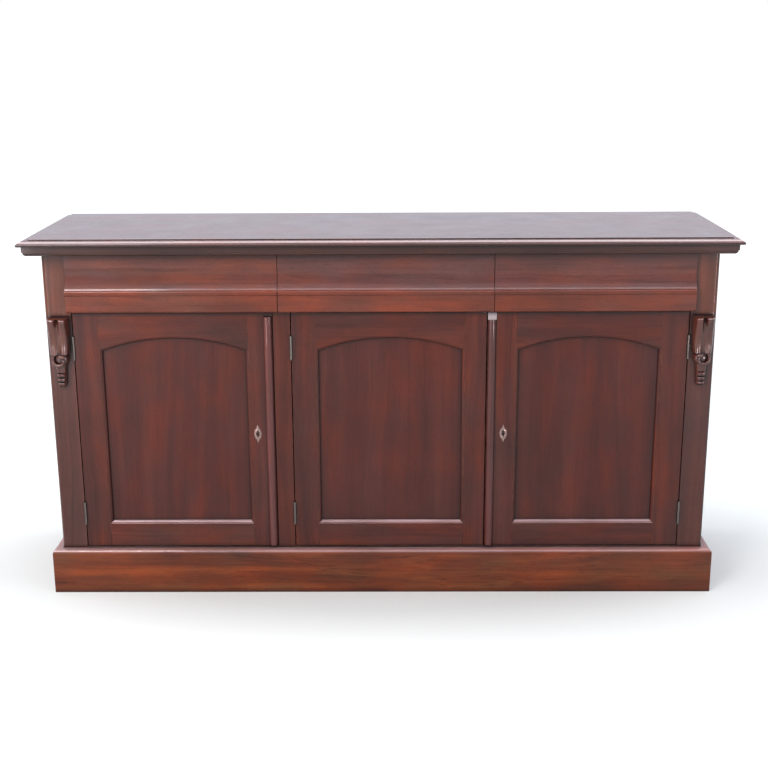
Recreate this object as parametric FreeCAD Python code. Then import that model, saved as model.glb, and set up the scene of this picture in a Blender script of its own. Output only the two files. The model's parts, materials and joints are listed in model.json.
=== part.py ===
import FreeCAD, Part
import math
import os
from collections import namedtuple
from FreeCAD import Vector

# A three-door mahogany chiffonier, one STEP file for each sub-part.
#
# Frame: X to the right, Y to the back, Z up, in millimetres. The origin is on the floor, at the
# middle of the rectangle that the moulded top covers. A frame of posts, boards and rails stands on a
# mitred plinth. Three frieze drawers lie over three arched-panel doors; the drawer fronts overlay
# the frame and the doors are inset in it.
#
# Outlines are lists of steps. A step is a point, or a (middle, end) pair of points for an arc.

# ---------------------------------------------------------------- driving dimensions
# Overall
WIDTH = 1800.0
DEPTH = 490.0
HEIGHT = 960.0

# Moulded top: a step, a flat ovolo and a rounded nose, whose turns are in degrees
TOP_THICK = 16.0
TOP_STEP = 3.0
TOP_EDGE_WIDE = 24.0
OVOLO_START = 22.0
OVOLO_SWELL = 2.8
NOSE_RADIUS = 4.2
NOSE_TURNS = (45.0, -7.5, -60.0)

# Cornice under its edge: a flat face, a quirk and a quarter round
CORNICE_TALL = 25.0
CORNICE_WIDE = 60.0
CORNICE_INSET = 11.0
CORNICE_QUIRK = 2.5
CORNICE_ROUND_WIDE = 11.0
CORNICE_ROUND_TALL = 10.0

# Carcass
CARCASS_HALF = 857.0
FRAME_FRONT = -180.0
FRAME_THICK = 24.0
CARCASS_BACK = 240.0
SIDE_THICK = 18.0
POST_WIDE = 67.0
POST_ROUND = 10.0
MUNTIN_X = -253.0
MUNTIN_WIDE = 44.0
BOARD_THICK = 18.0
BACK_THICK = 8.0
BACK_RECESS = 4.0
BACK_REBATE = 10.0
BACK_BOARD_COUNT = 6
BACK_BOARD_GAP = 1.0
FLOOR_BOARD_TOP = 124.0
SHELF_TOP = 448.0
SHELF_SETBACK = 65.0
CLEAT = 20.0

# Plinth
PLINTH_TALL = 120.0
PLINTH_THICK = 23.0
PLINTH_ROUND = 10.0
BEARER_THICK = 20.0
GLUE_BLOCK = 40.0
GLUE_BLOCK_LONG = 80.0
GLUE_BLOCK_X = (-700.0, -480.0, 0.0, 500.0, 700.0)

# Frieze: rail, dust boards and the three drawers
RAIL_BOTTOM = 765.0
RAIL_TOP = 785.0
DUST_BOARD_THICK = 18.0
TOP_RAIL_THICK = 14.0
TOP_RAIL_WIDE = 70.0
BATTEN_SETBACK = 6.0
DIVIDER_X = (-259.5, 289.0)
DRAWER_TOP = 917.5
DRAWER_BOTTOM = 768.0
DRAWER_END = 797.0
DRAWER_GAP = 1.5
DRAWER_BACK_GAP = 0.5
FRONT_FLAT = 9.0
FRONT_FLAT_TALL = 36.0
FRONT_COVE_MIDDLE = (12.5, 22.0)
FRONT_COVE_FOOT = (22.5, 7.0)
FRONT_NOSE = 26.5
FRONT_NOSE_LIFT = 50.5
FRONT_NOSE_FOOT = 6.0
FRONT_BAND = 23.5
FRONT_ROUND = 6.0
DRAWER_BOX_TOP = 892.0
DRAWER_BOX_BACK = 190.0
DRAWER_SIDE_PLAY = 1.5
DRAWER_LIFT = 0.5
DRAWER_WALL = 12.0
DRAWER_BASE_THICK = 6.0
DRAWER_BASE_LIFT = 10.0
DRAWER_GROOVE = 6.0
DOVETAILS = 2
PIN_HALF_NARROW = 4.0
PIN_HALF_BROAD = 8.0

# Doors
DOOR_THICK = 22.0
DOOR_BOTTOM = 126.0
DOOR_TOP = 763.5
HINGE_GAP = 2.4
LOCK_GAP = 2.0
MEETING_X = 273.3
MEETING_GAP = 2.6
SIGHT_BOTTOM = 196.0
ARCH_SPRING = 663.0
ARCH_RISE = 33.0
STICKING = 7.0
STICKING_STEP = 1.0
STICKING_FACETS = 2
PANEL_DEPTH = 10.0
PANEL_THICK = 8.0
PANEL_PLAY = 1.0
TENON_LONG = 45.0
TENON_SHOULDER = 10.0
ASTRAGAL_PROUD = 9.0
ASTRAGAL_WIDE = 22.0
ASTRAGAL_INSET = 0.5
ASTRAGAL_LIFT = 2.0
ASTRAGAL_TOP = {"left": 754.0, "right": 744.0}
BUFFER_TALL = 19.0
BUFFER_THICK = 2.0
STOP_BLOCK = (60.0, 10.0, 26.0)
STOP_X = (-430.0, 100.0, 400.0)

# Butt hinges
HINGE_LONG = 63.0
HINGE_Z = (219.0, 672.0)
HINGE_PROUD = 2.0
LEAF_THICK = 1.6
LEAF_WIDE = 22.0
KNUCKLE_RADIUS = 3.2
KNUCKLE_FLATS = 16
KNUCKLES = 3
KNUCKLE_PLAY = 0.2
KNUCKLE_CLEAR = 0.5
KNUCKLE_NOTCH = 0.7
PIN_RADIUS = 1.5
PIN_RUNNING = 0.05
KNUCKLE_END_ROOM = 1.5

# Cut cupboard locks and their escutcheons
LOCK_Z = 440.0
LOCK_TALL = 50.0
LOCK_DEEP = 13.0
LOCK_WIDE = 58.0
KEY_BACKSET = 45.0
BOLT_TALL = 24.0
BOLT_THICK = 7.0
BOLT_LONG = 38.0
BOLT_PLAY = 0.4
BOLT_TRAVEL = 8.0
BOLT_SETBACK = 0.5
BOLT_END_ROOM = 4.0
MORTISE_ROOM = 2.0
ESCUTCHEON = (20.0, 50.0, 1.5)
KEYHOLE_RADIUS = 3.0
KEYHOLE_RISE = 4.0
KEYHOLE_SLOT = (3.0, 10.0)

# Barrel bolts behind the middle door
BARREL_X = 245.0
BARREL_PLATE = (24.0, 2.0, 64.0)
BARREL_RADIUS = 6.5
BARREL_LONG = 48.0
ROD_RADIUS = 4.0
ROD_PLAY = 0.3
ROD_TRAVEL = 10.0
ROD_KNOB = (3.0, 14.0)
ROD_KNOB_PLAY = 0.5
ROD_TAIL = 2.0
UPPER_ROD_END = 753.0
LOWER_ROD_END = 127.0
BARREL_SETBACK = 10.0
KEEPER_HALF = 10.0
KEEPER_TALL = 12.0
KEEPER_BORE = 4.6
SOCKET_FLOOR = 6.0

# Corbels on the posts. Their side outlines are in steps of (proud of the post, below the top).
CORBEL_X = 822.0
CORBEL_WIDE = 52.0
CORBEL_TOP = 754.0
CORBEL_LEAF = [(0, 0), (31, 0), ((38.5, 8), (36, 21)), ((26, 46), (19, 92)), (0, 92)]
CORBEL_VOLUTE = [(0, 92), (17, 92), ((25, 106), (17, 120)), (0, 120)]
CORBEL_TAIL = [(0, 120), (14, 120), ((11, 150), (8.5, 179)), (5, 183), (0, 183)]
VOLUTE_WIDE = 44.0
TAIL_WIDE = 22.0

# How far a cut runs past what it cuts, and when two points are one
OVERCUT = 1.0
CLOSE = 1e-6

# ---------------------------------------------------------------- sizes worked out from them
TOP_BOTTOM = HEIGHT - TOP_THICK
CARCASS_TOP = TOP_BOTTOM - CORNICE_TALL
CORNICE_HALF = WIDTH / 2 - CORNICE_INSET
CORNICE_FRONT = -DEPTH / 2 + CORNICE_INSET
FRAME_BACK = FRAME_FRONT + FRAME_THICK
SIDE_INSIDE = CARCASS_HALF - SIDE_THICK
POST_INSIDE = CARCASS_HALF - POST_WIDE
BACK_INSIDE = CARCASS_BACK - BACK_RECESS - BACK_THICK
PLINTH_HALF = CARCASS_HALF + PLINTH_THICK
PLINTH_FRONT = FRAME_FRONT - PLINTH_THICK
FLOOR_BOARD_BOTTOM = FLOOR_BOARD_TOP - BOARD_THICK
DUST_BOARD_BOTTOM = RAIL_TOP - DUST_BOARD_THICK
TOP_RAIL_BOTTOM = CARCASS_TOP - TOP_RAIL_THICK
PARTITION = (MUNTIN_X - BOARD_THICK / 2, MUNTIN_X + BOARD_THICK / 2)
MUNTIN = (MUNTIN_X - MUNTIN_WIDE / 2, MUNTIN_X + MUNTIN_WIDE / 2)
DOOR_BACK = FRAME_FRONT + DOOR_THICK
PANEL_FRONT = FRAME_FRONT + PANEL_DEPTH
PANEL_BACK = PANEL_FRONT + PANEL_THICK
ARCH_APEX = ARCH_SPRING + ARCH_RISE
HINGE_Y = FRAME_FRONT - HINGE_PROUD
LOCK_FRONT = DOOR_BACK - LOCK_DEEP
BOLT_Y = DOOR_BACK - LOCK_DEEP / 2
ROD_Y = DOOR_BACK + BARREL_PLATE[1] + BARREL_RADIUS

# A door: its edges, the widths of its two stiles, and the side it is hung on (-1 left, 1 right)
Door = namedtuple("Door", "name left right left_stile right_stile hung")
DOORS = (
    Door("left", -POST_INSIDE + HINGE_GAP, MUNTIN[0] - LOCK_GAP, 71.0, 70.5, -1),
    Door("centre", MUNTIN[1] + HINGE_GAP, MEETING_X - MEETING_GAP / 2, 69.5, 62.0, -1),
    Door("right", MEETING_X + MEETING_GAP / 2, POST_INSIDE - HINGE_GAP, 81.0, 72.5, 1),
)
LEFT_DOOR, CENTRE_DOOR, RIGHT_DOOR = DOORS

# A drawer: the ends of its front, and the sides of its box
Drawer = namedtuple("Drawer", "name front_left front_right box_left box_right")
HALF_DIVIDER = BOARD_THICK / 2
DRAWERS = (
    Drawer("left", -DRAWER_END, DIVIDER_X[0] - DRAWER_GAP / 2,
           -POST_INSIDE + DRAWER_SIDE_PLAY, DIVIDER_X[0] - HALF_DIVIDER - DRAWER_SIDE_PLAY),
    Drawer("centre", DIVIDER_X[0] + DRAWER_GAP / 2, DIVIDER_X[1] - DRAWER_GAP / 2,
           DIVIDER_X[0] + HALF_DIVIDER + DRAWER_SIDE_PLAY, DIVIDER_X[1] - HALF_DIVIDER - DRAWER_SIDE_PLAY),
    Drawer("right", DIVIDER_X[1] + DRAWER_GAP / 2, DRAWER_END,
           DIVIDER_X[1] + HALF_DIVIDER + DRAWER_SIDE_PLAY, POST_INSIDE - DRAWER_SIDE_PLAY),
)


# ---------------------------------------------------------------- drawing helpers
def box(x_span, y_span, z_span):
    """A box over three (low, high) spans."""
    lows = [min(span) for span in (x_span, y_span, z_span)]
    sizes = [abs(span[1] - span[0]) for span in (x_span, y_span, z_span)]
    return Part.makeBox(*sizes, Vector(*lows))


def rod(radius, centre, direction, length):
    """A round bar from centre along direction."""
    return Part.makeCylinder(radius, length, Vector(*centre), Vector(*direction))


def step_end(step):
    """The point that a step ends at."""
    return step[1] if isinstance(step[0], tuple) else step


def outline(steps, at):
    """A closed wire through the steps; at turns a step's two numbers into a point in space."""
    start = at(*steps[0])
    here = start
    edges = []
    for step in steps[1:]:
        if isinstance(step[0], tuple):
            middle, end = at(*step[0]), at(*step[1])
            edges.append(Part.Arc(here, middle, end).toShape())
        else:
            end = at(*step)
            edges.append(Part.makeLine(here, end))
        here = end
    if (here - start).Length > CLOSE:
        edges.append(Part.makeLine(here, start))
    return Part.Wire(edges)


def along_x(steps, x_span):
    """The (y, z) outline drawn out along X."""
    wire = outline(steps, lambda y, z: Vector(x_span[0], y, z))
    return Part.Face(wire).extrude(Vector(x_span[1] - x_span[0], 0, 0))


def along_y(steps, y_span):
    """The (x, z) outline drawn out along Y."""
    wire = outline(steps, lambda x, z: Vector(x, y_span[0], z))
    return Part.Face(wire).extrude(Vector(0, y_span[1] - y_span[0], 0))


def along_z(steps, z_span):
    """The (x, y) outline drawn out along Z."""
    wire = outline(steps, lambda x, y: Vector(x, y, z_span[0]))
    return Part.Face(wire).extrude(Vector(0, 0, z_span[1] - z_span[0]))


def mirrored(shape):
    """The shape's mirror image on the other side of the middle."""
    return shape.mirror(Vector(0, 0, 0), Vector(1, 0, 0))


def moved_steps(steps, move):
    """The same outline with every point changed by move."""
    return [tuple(move(*point) for point in step) if isinstance(step[0], tuple) else move(*step)
            for step in steps]


def fused(shapes):
    """One solid out of shapes that touch."""
    whole = shapes[0]
    for shape in shapes[1:]:
        whole = whole.fuse(shape)
    return whole.removeSplitter()


def group(shapes):
    """Separate solids kept in one node."""
    return Part.makeCompound([solid for shape in shapes for solid in shape.Solids])


# ---------------------------------------------------------------- mitred mouldings
def moulded_slab(edge, half, front, back):
    """A slab with one moulding worked on its front and both ends, mitred at the front corners.

    edge runs down the moulding from the slab's top to its bottom, in (inset, z) steps.
    """
    top, bottom = edge[0][1], step_end(edge[-1])[1]
    front_edge = moved_steps(edge, lambda inset, z: (front + inset, z))
    left_edge = moved_steps(edge, lambda inset, z: (inset - half, z))
    long_way = along_x(front_edge + [(back, bottom), (back, top)], (-half, 0))
    short_way = along_y(left_edge + [(0, bottom), (0, top)], (front, back))
    left = long_way.common(short_way)
    return fused([left, mirrored(left)])


def mitred_lengths(slab, half, front, back, width):
    """The slab's moulded border as a front length and two returns, cut at the mitres."""
    z_span = (slab.BoundBox.ZMin - OVERCUT, slab.BoundBox.ZMax + OVERCUT)
    inner = half - width
    border = slab.cut(box((-inner, inner), (front + width, back + OVERCUT), z_span))
    wedge = along_z([(-half, front), (half, front), (inner, front + width), (-inner, front + width)],
                    z_span)
    return border.common(wedge), border.cut(wedge)


def top_board():
    """The moulded top: a small step, a flat ovolo and a rounded nose on the front and ends."""
    step_z = HEIGHT - TOP_STEP
    turns = [math.radians(turn) for turn in NOSE_TURNS]
    nose_z = TOP_BOTTOM - NOSE_RADIUS * math.sin(turns[-1])
    nose_start, nose_middle, nose_end = [(NOSE_RADIUS * (1 - math.cos(turn)), nose_z + NOSE_RADIUS * math.sin(turn))
                                         for turn in turns]
    ovolo_middle = ((OVOLO_START + nose_start[0]) / 2, (step_z + nose_start[1]) / 2 + OVOLO_SWELL)
    edge = [(TOP_EDGE_WIDE, HEIGHT), (TOP_EDGE_WIDE, step_z), (OVOLO_START, step_z),
            (ovolo_middle, nose_start), (nose_middle, nose_end)]
    return moulded_slab(edge, WIDTH / 2, -DEPTH / 2, DEPTH / 2)


def cornice():
    """The moulding under the top: a flat face, a quirk and a quarter round at its lower edge."""
    round_z = CARCASS_TOP + CORNICE_ROUND_TALL
    halfway = 1 - math.sqrt(0.5)
    round_middle = (CORNICE_QUIRK + (CORNICE_ROUND_WIDE - CORNICE_QUIRK) * halfway,
                    CARCASS_TOP + CORNICE_ROUND_TALL * halfway)
    edge = [(0, TOP_BOTTOM), (0, round_z), (CORNICE_QUIRK, round_z), (round_middle, (CORNICE_ROUND_WIDE, CARCASS_TOP))]
    slab = moulded_slab(edge, CORNICE_HALF, CORNICE_FRONT, CARCASS_BACK)
    return mitred_lengths(slab, CORNICE_HALF, CORNICE_FRONT, CARCASS_BACK, CORNICE_WIDE)


def plinth():
    """The applied plinth boards, with a rounded top edge."""
    side_step = PLINTH_ROUND * (1 - math.sqrt(0.5))
    edge = [(PLINTH_ROUND, PLINTH_TALL),
            ((side_step, PLINTH_TALL - side_step), (0, PLINTH_TALL - PLINTH_ROUND)), (0, 0)]
    slab = moulded_slab(edge, PLINTH_HALF, PLINTH_FRONT, CARCASS_BACK)
    return mitred_lengths(slab, PLINTH_HALF, PLINTH_FRONT, CARCASS_BACK, PLINTH_THICK)


# ---------------------------------------------------------------- carcass
def side_panel():
    """The left side, rebated at the back for the back boards."""
    panel = box((-CARCASS_HALF, -SIDE_INSIDE), (FRAME_BACK, CARCASS_BACK), (0, CARCASS_TOP))
    rebate = box((-SIDE_INSIDE - BACK_REBATE, -SIDE_INSIDE), (BACK_INSIDE, CARCASS_BACK), (0, CARCASS_TOP))
    return panel.cut(rebate)


def hinge_seats(axis_x, side):
    """What a hinge takes out of the wood beside it: the leaf's bed and room for the knuckles.

    side is -1 for the wood left of the axis and 1 for the wood right of it.
    """
    near, far = axis_x + side * HINGE_GAP / 2, axis_x + side * (HINGE_GAP / 2 + LEAF_THICK)
    seats = []
    for middle in HINGE_Z:
        low = middle - HINGE_LONG / 2
        seats.append(box((near, far), (HINGE_Y, HINGE_Y + LEAF_WIDE), (low, low + HINGE_LONG)))
        seats.append(rod(KNUCKLE_RADIUS + KNUCKLE_NOTCH, (axis_x, HINGE_Y, low - KNUCKLE_END_ROOM), (0, 0, 1),
                         HINGE_LONG + 2 * KNUCKLE_END_ROOM))
    return seats


def post():
    """The left front post: round outer corner, and seats for the left door's hinges."""
    outer, inner = -CARCASS_HALF, -POST_INSIDE
    turn = POST_ROUND * (1 - math.sqrt(0.5))
    section = [(outer, FRAME_BACK), (outer, FRAME_FRONT + POST_ROUND),
               ((outer + turn, FRAME_FRONT + turn), (outer + POST_ROUND, FRAME_FRONT)),
               (inner, FRAME_FRONT), (inner, FRAME_BACK)]
    return along_z(section, (0, CARCASS_TOP)).cut(hinge_seats(hinge_axis(LEFT_DOOR), -1))


def muntin():
    """The upright between the left and middle doors, mortised for the left door's lock bolt."""
    bar = box(MUNTIN, (FRAME_FRONT, FRAME_BACK), (FLOOR_BOARD_TOP, RAIL_BOTTOM))
    seats = hinge_seats(hinge_axis(CENTRE_DOOR), -1)
    return bar.cut(seats + [bolt_mortise(MUNTIN[0], 1)])


def partition():
    """The upright board behind the muntin."""
    return box(PARTITION, (FRAME_BACK, BACK_INSIDE), (FLOOR_BOARD_TOP, DUST_BOARD_BOTTOM))


def bottom_board():
    """The cupboard floor, let in between the posts, with the lower bolt's socket."""
    behind = box((-SIDE_INSIDE, SIDE_INSIDE), (FRAME_BACK, BACK_INSIDE), (FLOOR_BOARD_BOTTOM, FLOOR_BOARD_TOP))
    between = box((-POST_INSIDE, POST_INSIDE), (FRAME_FRONT, FRAME_BACK), (FLOOR_BOARD_BOTTOM, FLOOR_BOARD_TOP))
    socket = rod(KEEPER_BORE, (BARREL_X, ROD_Y, FLOOR_BOARD_BOTTOM + SOCKET_FLOOR), (0, 0, 1), BOARD_THICK)
    return fused([behind, between]).cut(socket)


def drawer_rail():
    """The front rail between the doors and the drawers."""
    return box((-POST_INSIDE, POST_INSIDE), (FRAME_FRONT, FRAME_BACK), (RAIL_BOTTOM, RAIL_TOP))


def drawer_deck():
    """The dust board that the drawers run on."""
    return box((-SIDE_INSIDE, SIDE_INSIDE), (FRAME_BACK, BACK_INSIDE), (DUST_BOARD_BOTTOM, RAIL_TOP))


def drawer_dividers():
    """The two upright boards between the drawers."""
    return group([box((x - HALF_DIVIDER, x + HALF_DIVIDER), (FRAME_FRONT, BACK_INSIDE), (RAIL_TOP, TOP_RAIL_BOTTOM))
                  for x in DIVIDER_X])


def drawer_guides():
    """The strips behind the posts that guide the outer drawers."""
    left = box((-SIDE_INSIDE, -POST_INSIDE), (FRAME_BACK, DRAWER_BOX_BACK), (RAIL_TOP, RAIL_TOP + CLEAT))
    return group([left, mirrored(left)])


def top_rails():
    """Front and back rails under the top, tied by two cross rails, and battens in the cornice."""
    z_span = (TOP_RAIL_BOTTOM, CARCASS_TOP)
    front = fused([box((-POST_INSIDE, POST_INSIDE), (FRAME_FRONT, FRAME_BACK), z_span),
                   box((-SIDE_INSIDE, SIDE_INSIDE), (FRAME_BACK, FRAME_FRONT + TOP_RAIL_WIDE), z_span)])
    back = box((-SIDE_INSIDE, SIDE_INSIDE), (BACK_INSIDE - TOP_RAIL_WIDE, BACK_INSIDE), z_span)
    cross = [box((x - TOP_RAIL_WIDE / 2, x + TOP_RAIL_WIDE / 2),
                 (FRAME_FRONT + TOP_RAIL_WIDE, BACK_INSIDE - TOP_RAIL_WIDE), z_span) for x in DIVIDER_X]
    inner = CORNICE_HALF - CORNICE_WIDE
    battens = [box((-inner, inner), (back_edge - TOP_RAIL_WIDE, back_edge), (CARCASS_TOP, TOP_BOTTOM))
               for back_edge in (FRAME_FRONT + TOP_RAIL_WIDE + BATTEN_SETBACK, CARCASS_BACK)]
    return group([front, back] + cross + battens)


def back_boards():
    """Upright boards let into the rebates of the sides."""
    half = SIDE_INSIDE + BACK_REBATE
    pitch = 2 * half / BACK_BOARD_COUNT
    boards = []
    for index in range(BACK_BOARD_COUNT):
        left = -half + index * pitch
        boards.append(box((left, left + pitch - BACK_BOARD_GAP), (BACK_INSIDE, BACK_INSIDE + BACK_THICK),
                          (FLOOR_BOARD_BOTTOM, CARCASS_TOP)))
    return group(boards)


def plinth_bearers():
    """Bearers that carry the floor behind the plinth, with glue blocks in the corners."""
    z_span = (0, FLOOR_BOARD_BOTTOM)
    front = box((-POST_INSIDE, POST_INSIDE), (FRAME_FRONT, FRAME_BACK), z_span)
    back = box((-SIDE_INSIDE, SIDE_INSIDE), (BACK_INSIDE - BEARER_THICK, BACK_INSIDE), z_span)
    cross = [box((x - BEARER_THICK / 2, x + BEARER_THICK / 2), (FRAME_BACK, BACK_INSIDE - BEARER_THICK), z_span)
             for x in DIVIDER_X]
    corner = [(FRAME_BACK, FLOOR_BOARD_BOTTOM), (FRAME_BACK + GLUE_BLOCK, FLOOR_BOARD_BOTTOM),
              (FRAME_BACK, FLOOR_BOARD_BOTTOM - GLUE_BLOCK)]
    blocks = [along_x(corner, (x - GLUE_BLOCK_LONG / 2, x + GLUE_BLOCK_LONG / 2)) for x in GLUE_BLOCK_X]
    return group([front, back] + cross + blocks)


def shelves():
    """The two cupboard shelves, set back from the doors."""
    return group([box(x_span, (FRAME_FRONT + SHELF_SETBACK, BACK_INSIDE), (SHELF_TOP - BOARD_THICK, SHELF_TOP))
                  for x_span in ((-SIDE_INSIDE, PARTITION[0]), (PARTITION[1], SIDE_INSIDE))])


def shelf_cleats():
    """The strips that carry the shelves, on the sides and on both faces of the partition."""
    under = SHELF_TOP - BOARD_THICK
    faces = ((-SIDE_INSIDE, 1), (PARTITION[0], -1), (PARTITION[1], 1), (SIDE_INSIDE, -1))
    return group([box((x, x + inward * CLEAT), (FRAME_FRONT + 2 * SHELF_SETBACK, BACK_INSIDE - CLEAT),
                      (under - CLEAT, under)) for x, inward in faces])


def door_stops():
    """Blocks under the dust board that the doors close against, and the upper bolt's keeper."""
    wide, deep, tall = STOP_BLOCK
    blocks = [box((x, x + wide), (FRAME_BACK, FRAME_BACK + deep), (DUST_BOARD_BOTTOM - tall, DUST_BOARD_BOTTOM))
              for x in STOP_X]
    tongues = [box((x, x + wide), (DOOR_BACK, FRAME_BACK), (DUST_BOARD_BOTTOM - tall, RAIL_BOTTOM))
               for x in STOP_X]
    return group([fused(pair) for pair in zip(blocks, tongues)])


def bolt_keeper():
    """The brass keeper under the dust board that takes the upper bolt."""
    block = box((BARREL_X - KEEPER_HALF, BARREL_X + KEEPER_HALF), (FRAME_BACK, ROD_Y + KEEPER_HALF),
                (DUST_BOARD_BOTTOM - KEEPER_TALL, DUST_BOARD_BOTTOM))
    return block.cut(rod(KEEPER_BORE, (BARREL_X, ROD_Y, DUST_BOARD_BOTTOM - KEEPER_TALL), (0, 0, 1), KEEPER_TALL))


def corbel():
    """The left corbel: a leaf that swells forward near its top, a volute and a tapering tail."""
    pieces = []
    for steps, wide in ((CORBEL_LEAF, CORBEL_WIDE), (CORBEL_VOLUTE, VOLUTE_WIDE), (CORBEL_TAIL, TAIL_WIDE)):
        side = moved_steps(steps, lambda proud, drop: (FRAME_FRONT - proud, CORBEL_TOP - drop))
        pieces.append(along_x(side, (-CORBEL_X - wide / 2, -CORBEL_X + wide / 2)))
    return fused(pieces)


# ---------------------------------------------------------------- drawers
def drawer_front(drawer):
    """An overlay front: flat above, then a long cove down to a rounded nose and a flat band."""
    back = FRAME_FRONT - DRAWER_BACK_GAP
    nose_z = DRAWER_BOTTOM + FRONT_NOSE_LIFT
    round_share = FRONT_ROUND * (1 - math.sqrt(0.5))
    section = [(back, DRAWER_TOP), (back - FRONT_FLAT, DRAWER_TOP), (back - FRONT_FLAT, DRAWER_TOP - FRONT_FLAT_TALL),
               ((back - FRONT_COVE_MIDDLE[0], nose_z + FRONT_COVE_MIDDLE[1]),
                (back - FRONT_COVE_FOOT[0], nose_z + FRONT_COVE_FOOT[1])),
               ((back - FRONT_NOSE, nose_z), (back - FRONT_BAND, nose_z - FRONT_NOSE_FOOT)),
               (back - FRONT_BAND, DRAWER_BOTTOM + FRONT_ROUND),
               ((back - FRONT_BAND + round_share, DRAWER_BOTTOM + round_share),
                (back - FRONT_BAND + FRONT_ROUND, DRAWER_BOTTOM)),
               (back, DRAWER_BOTTOM)]
    return along_x(section, (drawer.front_left, drawer.front_right))


def dovetail_pins(end_y, inward, z_span, x_span):
    """The pins between the tails at one corner, tapering towards the board's end."""
    low, high = z_span
    pitch = (high - low) / DOVETAILS
    pins = []
    for index in range(DOVETAILS + 1):
        middle = low + index * pitch
        steps = [(end_y, middle - PIN_HALF_NARROW), (end_y, middle + PIN_HALF_NARROW),
                 (end_y + inward * DRAWER_WALL, middle + PIN_HALF_BROAD),
                 (end_y + inward * DRAWER_WALL, middle - PIN_HALF_BROAD)]
        pins.append(along_x(steps, x_span))
    clip = box(x_span, (end_y, end_y + inward * DRAWER_WALL), z_span)
    return [pin.common(clip) for pin in pins]


def drawer_box(drawer):
    """Sides, inner front and back, dovetailed at the corners and grooved for the bottom."""
    front, back = FRAME_FRONT - DRAWER_BACK_GAP, DRAWER_BOX_BACK
    z_span = (RAIL_TOP + DRAWER_LIFT, DRAWER_BOX_TOP)
    groove = drawer_base_board(drawer)
    walls = []
    ends = []
    for outer, inward in ((drawer.box_left, 1), (drawer.box_right, -1)):
        x_span = (outer, outer + inward * DRAWER_WALL)
        front_pins = dovetail_pins(front, 1, z_span, x_span)
        back_pins = dovetail_pins(back, -1, z_span, x_span)
        walls.append(box(x_span, (front, back), z_span).cut(front_pins + back_pins + [groove]))
        ends.append((front_pins, back_pins))
    inner = (drawer.box_left + DRAWER_WALL, drawer.box_right - DRAWER_WALL)
    head = fused([box(inner, (front, front + DRAWER_WALL), z_span)] + ends[0][0] + ends[1][0]).cut(groove)
    tail = fused([box(inner, (back - DRAWER_WALL, back), z_span)] + ends[0][1] + ends[1][1]).cut(groove)
    return group(walls + [head, tail])


def drawer_base_board(drawer):
    """The drawer bottom, let into grooves on all four sides."""
    low = RAIL_TOP + DRAWER_LIFT + DRAWER_BASE_LIFT
    reach = DRAWER_WALL - DRAWER_GROOVE
    return box((drawer.box_left + reach, drawer.box_right - reach),
               (FRAME_FRONT - DRAWER_BACK_GAP + reach, DRAWER_BOX_BACK - reach),
               (low, low + DRAWER_BASE_THICK))


# ---------------------------------------------------------------- doors
def sight(door):
    """Left and right edges of the door's panel opening."""
    return door.left + door.left_stile, door.right - door.right_stile


def arched_steps(door, grow):
    """The panel opening's outline with an arched head, moved outwards by grow."""
    low_x, high_x = sight(door)
    middle, half = (low_x + high_x) / 2, (high_x - low_x) / 2
    radius = (half ** 2 + ARCH_RISE ** 2) / (2 * ARCH_RISE)
    centre_z = ARCH_APEX - radius
    spring = centre_z + math.sqrt((radius + grow) ** 2 - (half + grow) ** 2)
    return [(low_x - grow, spring), (low_x - grow, SIGHT_BOTTOM - grow),
            (high_x + grow, SIGHT_BOTTOM - grow), (high_x + grow, spring),
            ((middle, ARCH_APEX + grow), (low_x - grow, spring))]


def sticking_cuts(door):
    """The quarter-round moulding worked round the front edge of the opening."""
    face = FRAME_FRONT
    cuts = [along_y(arched_steps(door, STICKING), (face, face + STICKING_STEP))]
    radius = STICKING - STICKING_STEP
    levels = []
    for index in range(STICKING_FACETS + 1):
        turn = math.radians(90 * index / STICKING_FACETS)
        grow = radius * (1 - math.sin(turn))
        depth = STICKING_STEP + radius * (1 - math.cos(turn))
        levels.append(outline(arched_steps(door, grow), lambda x, z, y=face + depth: Vector(x, y, z)))
    for near, far in zip(levels, levels[1:]):
        cuts.append(Part.makeLoft([near, far], True, True))
    return cuts


def stile_share(door, side):
    """The zone of one stile in the door frame: mitred across the moulding, straight elsewhere."""
    grown, plain = arched_steps(door, STICKING), arched_steps(door, 0)
    left_side = side < 0
    outer = door.left if left_side else door.right
    outer_top, outer_low = grown[0 if left_side else 3], grown[1 if left_side else 2]
    inner_top, inner_low = plain[0 if left_side else 3], plain[1 if left_side else 2]
    joint = outer_low[0]
    return along_y([(outer, DOOR_BOTTOM), (joint, DOOR_BOTTOM), outer_low, inner_low, inner_top, outer_top,
                    (joint, DOOR_TOP), (outer, DOOR_TOP)], (FRAME_FRONT, DOOR_BACK))


def tenons(door):
    """The four tenons on the rail ends, as (upper pair, lower pair)."""
    low_x, high_x = sight(door)
    ends = ((low_x - STICKING - TENON_LONG, low_x - STICKING), (high_x + STICKING, high_x + STICKING + TENON_LONG))
    lower = (DOOR_BOTTOM + TENON_SHOULDER, SIGHT_BOTTOM - STICKING - TENON_SHOULDER)
    upper = (ARCH_APEX + STICKING + TENON_SHOULDER, DOOR_TOP - TENON_SHOULDER)
    return [[box(end, (PANEL_FRONT, PANEL_BACK), z_span) for end in ends] for z_span in (upper, lower)]


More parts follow.
